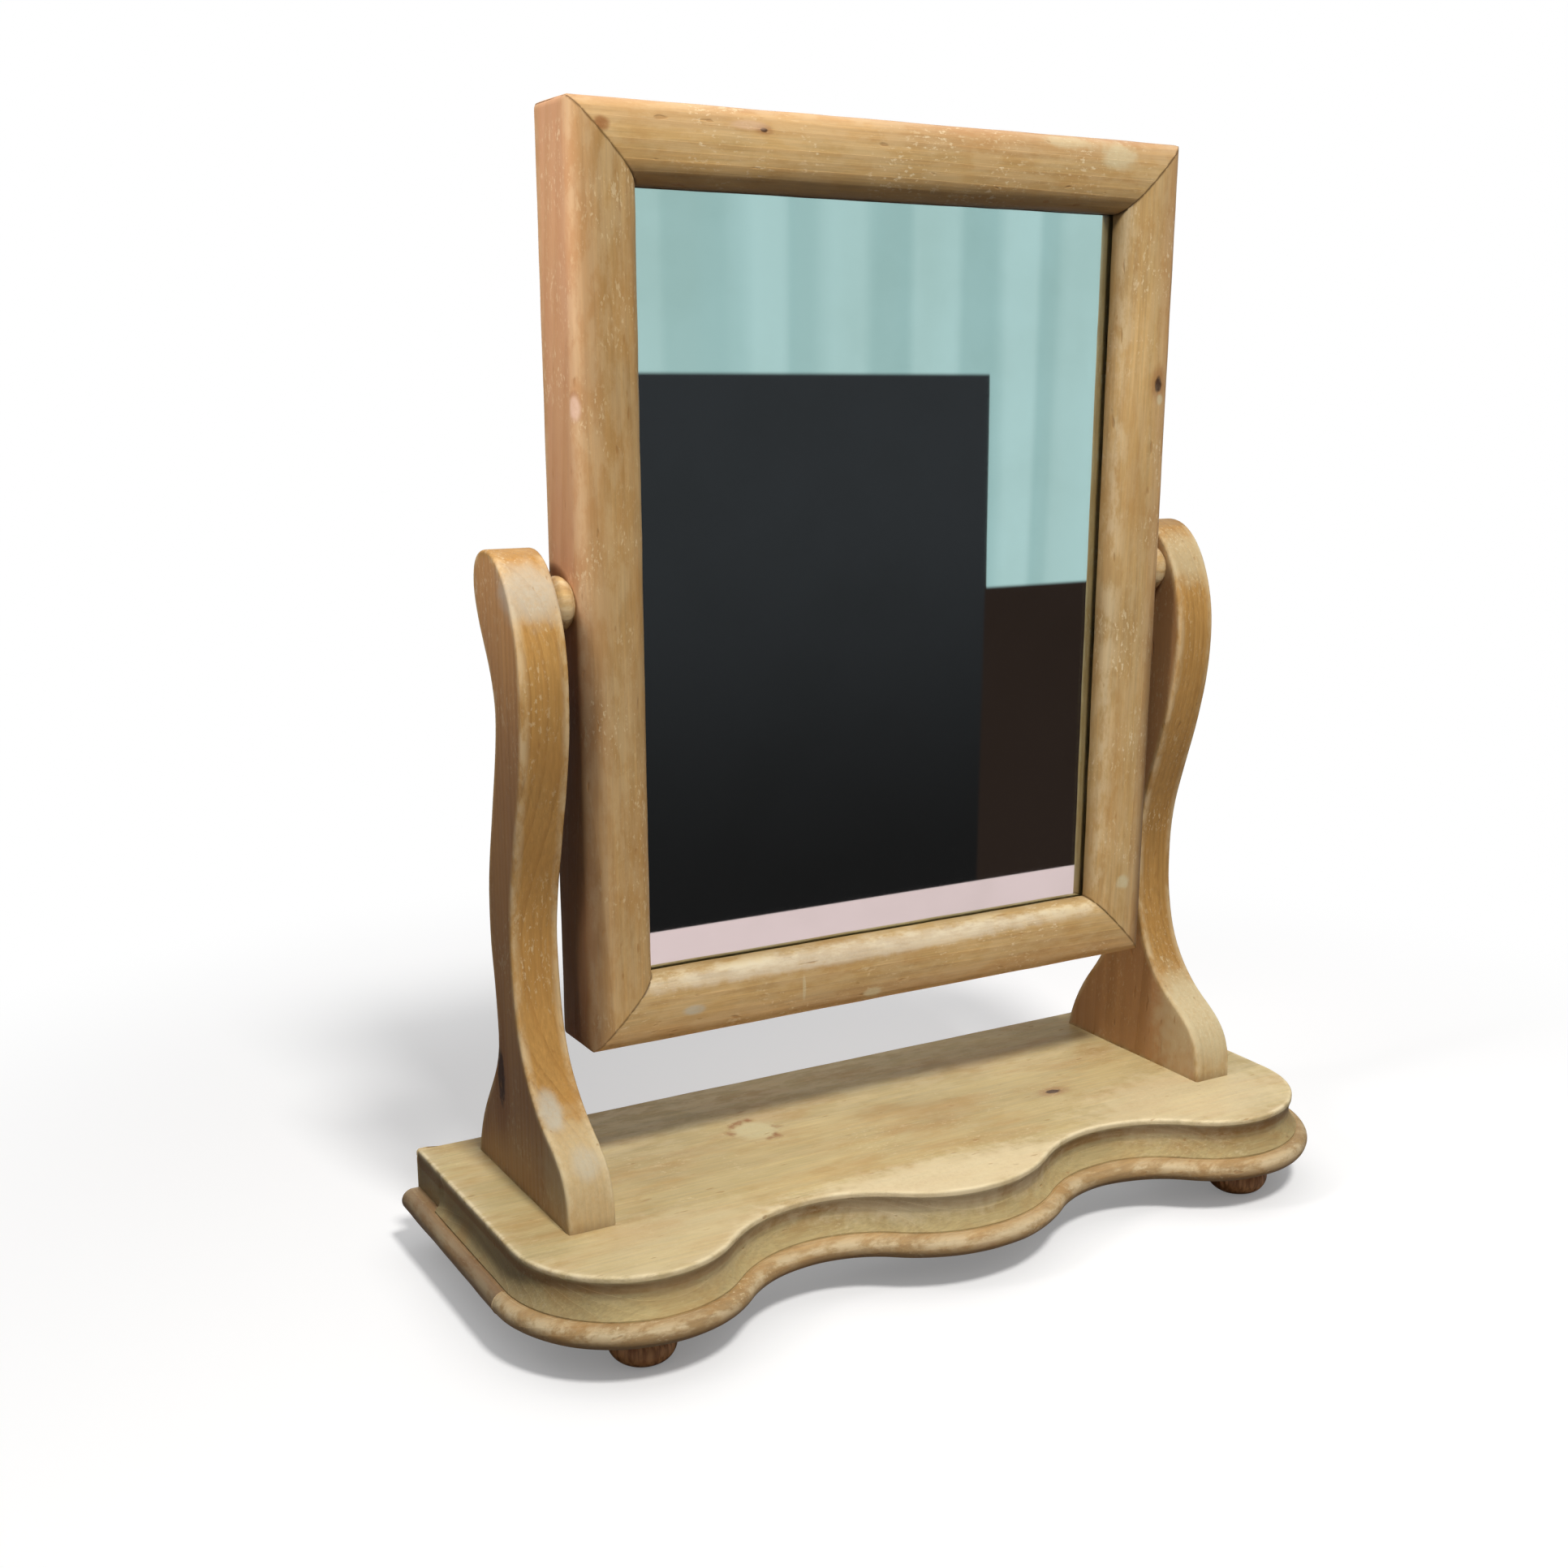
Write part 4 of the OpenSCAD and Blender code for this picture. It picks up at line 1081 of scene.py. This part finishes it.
def carried_over(node, material):
    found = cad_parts[node]
    found.data.materials.clear()
    found.data.materials.append(material)


def plain_wood(name, light, dark, grain):
    made, t = new_material(name)
    _, turned = along_grain(t, grain)
    found = t.add("Group", {"Vector": turned, "Pith": (0, 0.4, 0.3), "Ring": 0.004, "Warp": 0.02},
                  node_tree=PINE_FIGURE)
    rings, fibre, cloud = (found.outputs[n] for n in ("Rings", "Fibre", "Cloud"))
    colour = t.mix(t.math("MULTIPLY", rings, 0.6), light, dark)
    colour = t.mix(t.ramp(fibre, 0.45, 0.75, 0, 0.5), colour, dark)
    t.principled({
        "Base Color": t.mix(t.ramp(cloud, 0.5, 0.8, 0, 0.45), colour, DIRT_AND_SHADE),
        "Roughness": t.ramp(fibre, 0.3, 0.7, 0.6, 0.8), "Normal": t.bump(fibre, 0.0004, 0.6),
    })
    return made


carried_over("backboard", plain_wood("deal", srgb(178, 140, 96), srgb(128, 88, 52), "Z"))
carried_over("glass_blocks",
             plain_wood("block_wood", srgb(196, 160, 112), srgb(150, 108, 66), "X"))
carried_over("mitre_keys", plain_wood("key_wood", srgb(140, 96, 60), srgb(100, 64, 38), "Z"))
PIN_WOOD = plain_wood("pin_wood", srgb(150, 104, 64), srgb(104, 66, 38), "X")
carried_over("left_pivot_pin", PIN_WOOD)
carried_over("right_pivot_pin", PIN_WOOD)
carried_over("upright_screws", STEEL)
carried_over("plinth_screws", STEEL)
glass_plate()
carried_over("silvering", silver_backing())


# The stage, in metres
FLOOR_REACH = 30
BACKDROP_Y = -0.61
FOLD_W = 0.1
DARK_END, DARK_TOP, END_TOP = 0.545, 0.552, 0.33


def stage_plane(name, matrix, material):
    """A plane two metres square, laid by the matrix."""
    bm = bmesh.new()
    bmesh.ops.create_grid(bm, x_segments=1, y_segments=1, size=1, matrix=matrix)
    mesh = bpy.data.meshes.new(name)
    bm.to_mesh(mesh)
    bm.free()
    mesh.materials.append(material)
    made = bpy.data.objects.new(name, mesh)
    bpy.context.scene.collection.objects.link(made)
    return made


def seen_in_mirror(t, path):
    """One for rays that reach the surface by way of the glass plate."""
    sharp = t.math("MAXIMUM", path["Is Glossy Ray"], path["Is Transmission Ray"])
    return t.math("MULTIPLY", sharp, t.math("MINIMUM", path["Transmission Depth"], 1.0))


def pale_floor():
    """Floor that is near white where it is seen directly, and darker close to the feet
    and under the base, partly by real shade and partly by a painted shadow in its glow.
    In the mirror it is a dull pink glow, a painted reflection, and it throws little
    light back."""
    paint, t = new_material("floor_paint")
    path = t.add("LightPath").outputs
    mirrored = seen_in_mirror(t, path)
    seen = t.math("MAXIMUM", path["Is Camera Ray"], mirrored)
    matt = t.add("BsdfDiffuse", {
        "Color": t.mix(seen, (0.24, 0.22, 0.21, 1), (0.62, 0.62, 0.63, 1)),
    })
    # Painted contact shadow: the glow dims where the object stands close above
    open_sky = t.add("AmbientOcclusion", {"Distance": 0.045}, samples=12).outputs["AO"]
    lift = t.add("Emission", {
        "Color": (1, 1, 1, 1),
        "Strength": t.math("MULTIPLY", t.math("MULTIPLY_ADD", open_sky, 0.29, 0.15), seen),
    })
    both = t.add("AddShader", {0: matt.outputs[0], 1: lift.outputs[0]})
    away = t.vector("LENGTH", t.place())
    fade = t.math("MULTIPLY", t.ramp(away, 0.38, 0.95), seen)
    bright = t.add("Emission", {"Color": (1, 1, 1, 1), "Strength": 1.0})
    faded = t.add("MixShader", {0: fade, 1: both.outputs[0], 2: bright.outputs[0]})
    dull = t.add("Emission", {"Color": srgb(250, 216, 220), "Strength": 1.0})
    either = t.add("MixShader", {0: mirrored, 1: faded.outputs[0], 2: dull.outputs[0]})
    t.add("OutputMaterial", {"Surface": either.outputs[0]})
    stage_plane("floor", Matrix.Scale(FLOOR_REACH, 4), paint)


def backdrop():
    """Glowing upright plane in front of the mirror, which only reflections see: a painted
    reflection of a pale, folded wall over a dark part whose end is lower. Polished
    wood sees it dimly."""
    paint, t = new_material("backdrop_paint")
    place = t.place()
    parts = t.add("SeparateXYZ", {0: place}).outputs
    uneven = t.noise(t.vector("MULTIPLY", place, (9, 0, 0.3)), 1.0, 2.0)
    across = t.math("MULTIPLY_ADD", uneven, 0.16, parts[0])
    fold = t.math("DIVIDE", t.math("PINGPONG", across, FOLD_W / 2), FOLD_W / 2)
    wall = t.mix(t.ramp(fold, 0.25, 0.7), srgb(176, 205, 208), srgb(197, 223, 226))
    wall = t.mix(t.ramp(uneven, 0.35, 0.7, 0.0, 0.5), wall, srgb(182, 206, 206))
    low = t.mix(t.ramp(parts[2], 0.0, 0.5), srgb(31, 29, 30), srgb(54, 54, 58))
    low = t.mix(t.ramp(parts[0], DARK_END, DARK_END + 0.004), low, srgb(50, 38, 34))
    edge = t.ramp(parts[0], DARK_END, DARK_END + 0.004, DARK_TOP, END_TOP)
    shade = t.mix(t.ramp(t.math("SUBTRACT", parts[2], edge), -0.002, 0.003), low, wall)
    in_mirror = seen_in_mirror(t, t.add("LightPath").outputs)
    strength = t.math("MULTIPLY_ADD", in_mirror, 0.8, 0.2)
    glow = t.add("Emission", {"Color": shade, "Strength": strength})
    t.add("OutputMaterial", {"Surface": glow.outputs[0]})
    half_w, half_h, clear = 4, 1.499, 0.002
    plane = stage_plane(
        "backdrop",
        Matrix.Translation((0, BACKDROP_Y, clear + half_h))
        @ Matrix.Rotation(math.pi / 2, 4, "X") @ Matrix.Diagonal((half_w, half_h, 1, 1)),
        paint,
    )
    plane.visible_camera = False
    plane.visible_diffuse = False
    plane.visible_shadow = False


def studio_world():
    """White where the camera or the mirror sees it. Otherwise dim, brighter overhead,
    and brighter again for the sheen of the wax."""
    world = bpy.data.worlds.new("studio")
    scene.world = world
    world.use_nodes = True
    world.node_tree.nodes.clear()
    t = Tree(world.node_tree)
    path = t.add("LightPath").outputs
    seen = t.math("MAXIMUM", path["Is Camera Ray"], seen_in_mirror(t, path))
    height = t.add("SeparateXYZ", {0: t.add("TexCoord").outputs["Generated"]}).outputs[2]
    slope = t.math("MULTIPLY_ADD", path["Is Glossy Ray"], 0.8, 0.21)
    overhead = t.math("MULTIPLY_ADD", t.math("MAXIMUM", height, 0.0), slope, 0.06)
    sky = t.add("Background", {"Color": (0.97, 0.98, 1.0, 1), "Strength": overhead})
    white = t.add("Background", {"Color": (1, 1, 1, 1), "Strength": 1.0})
    either = t.add("MixShader", {0: seen, 1: sky.outputs[0], 2: white.outputs[0]})
    t.add("OutputWorld", {"Surface": either.outputs[0]})


def area_light(name, place, target, size, power, colour, spread=180):
    data = bpy.data.lights.new(name, "AREA")
    data.shape = "DISK"
    data.size = size
    data.spread = math.radians(spread)
    data.energy = power
    data.color = colour
    lamp = bpy.data.objects.new(name, data)
    scene.collection.objects.link(lamp)
    lamp.location = place
    lamp.rotation_euler = (Vector(target) - Vector(place)).to_track_quat("-Z", "Y").to_euler()
    lamp.visible_camera = False
    lamp.visible_glossy = False
    lamp.visible_transmission = False


scene = bpy.context.scene
scene.view_settings.view_transform = "Standard"
pale_floor()
backdrop()
studio_world()
area_light("key", (-0.15, -1.45, 2.55), (0, 0, 0.25), 0.45, 71, (1.0, 0.98, 0.94))
area_light("left_window", (-0.86, 0.02, 0.95), (-0.23, 0.03, 0.62), 0.25, 0.66,
           (1.0, 0.93, 0.91), spread=57)
area_light("back_window", (0.25, 1.50, 0.60), (0, 0.05, 0.42), 0.5, 0.62, (1.0, 0.98, 0.95),
           spread=46)

# Camera of the photograph
FOCAL_PX, FRAME_PX = 2224.2, 1932
AZIMUTH, ELEVATION = math.radians(29.965), math.radians(15.23)
SHIFT_UP = 0.0611
CAMERA_PLACE = (-0.6237, -0.9294, 0.5384)
camera_data = bpy.data.cameras.new("camera")
camera_data.sensor_width = 36
camera_data.lens = FOCAL_PX / FRAME_PX * camera_data.sensor_width
camera_data.shift_y = SHIFT_UP
camera = bpy.data.objects.new("camera", camera_data)
scene.collection.objects.link(camera)
camera.location = CAMERA_PLACE
camera.rotation_euler = (math.pi / 2 - ELEVATION, 0, -AZIMUTH)
scene.camera = camera
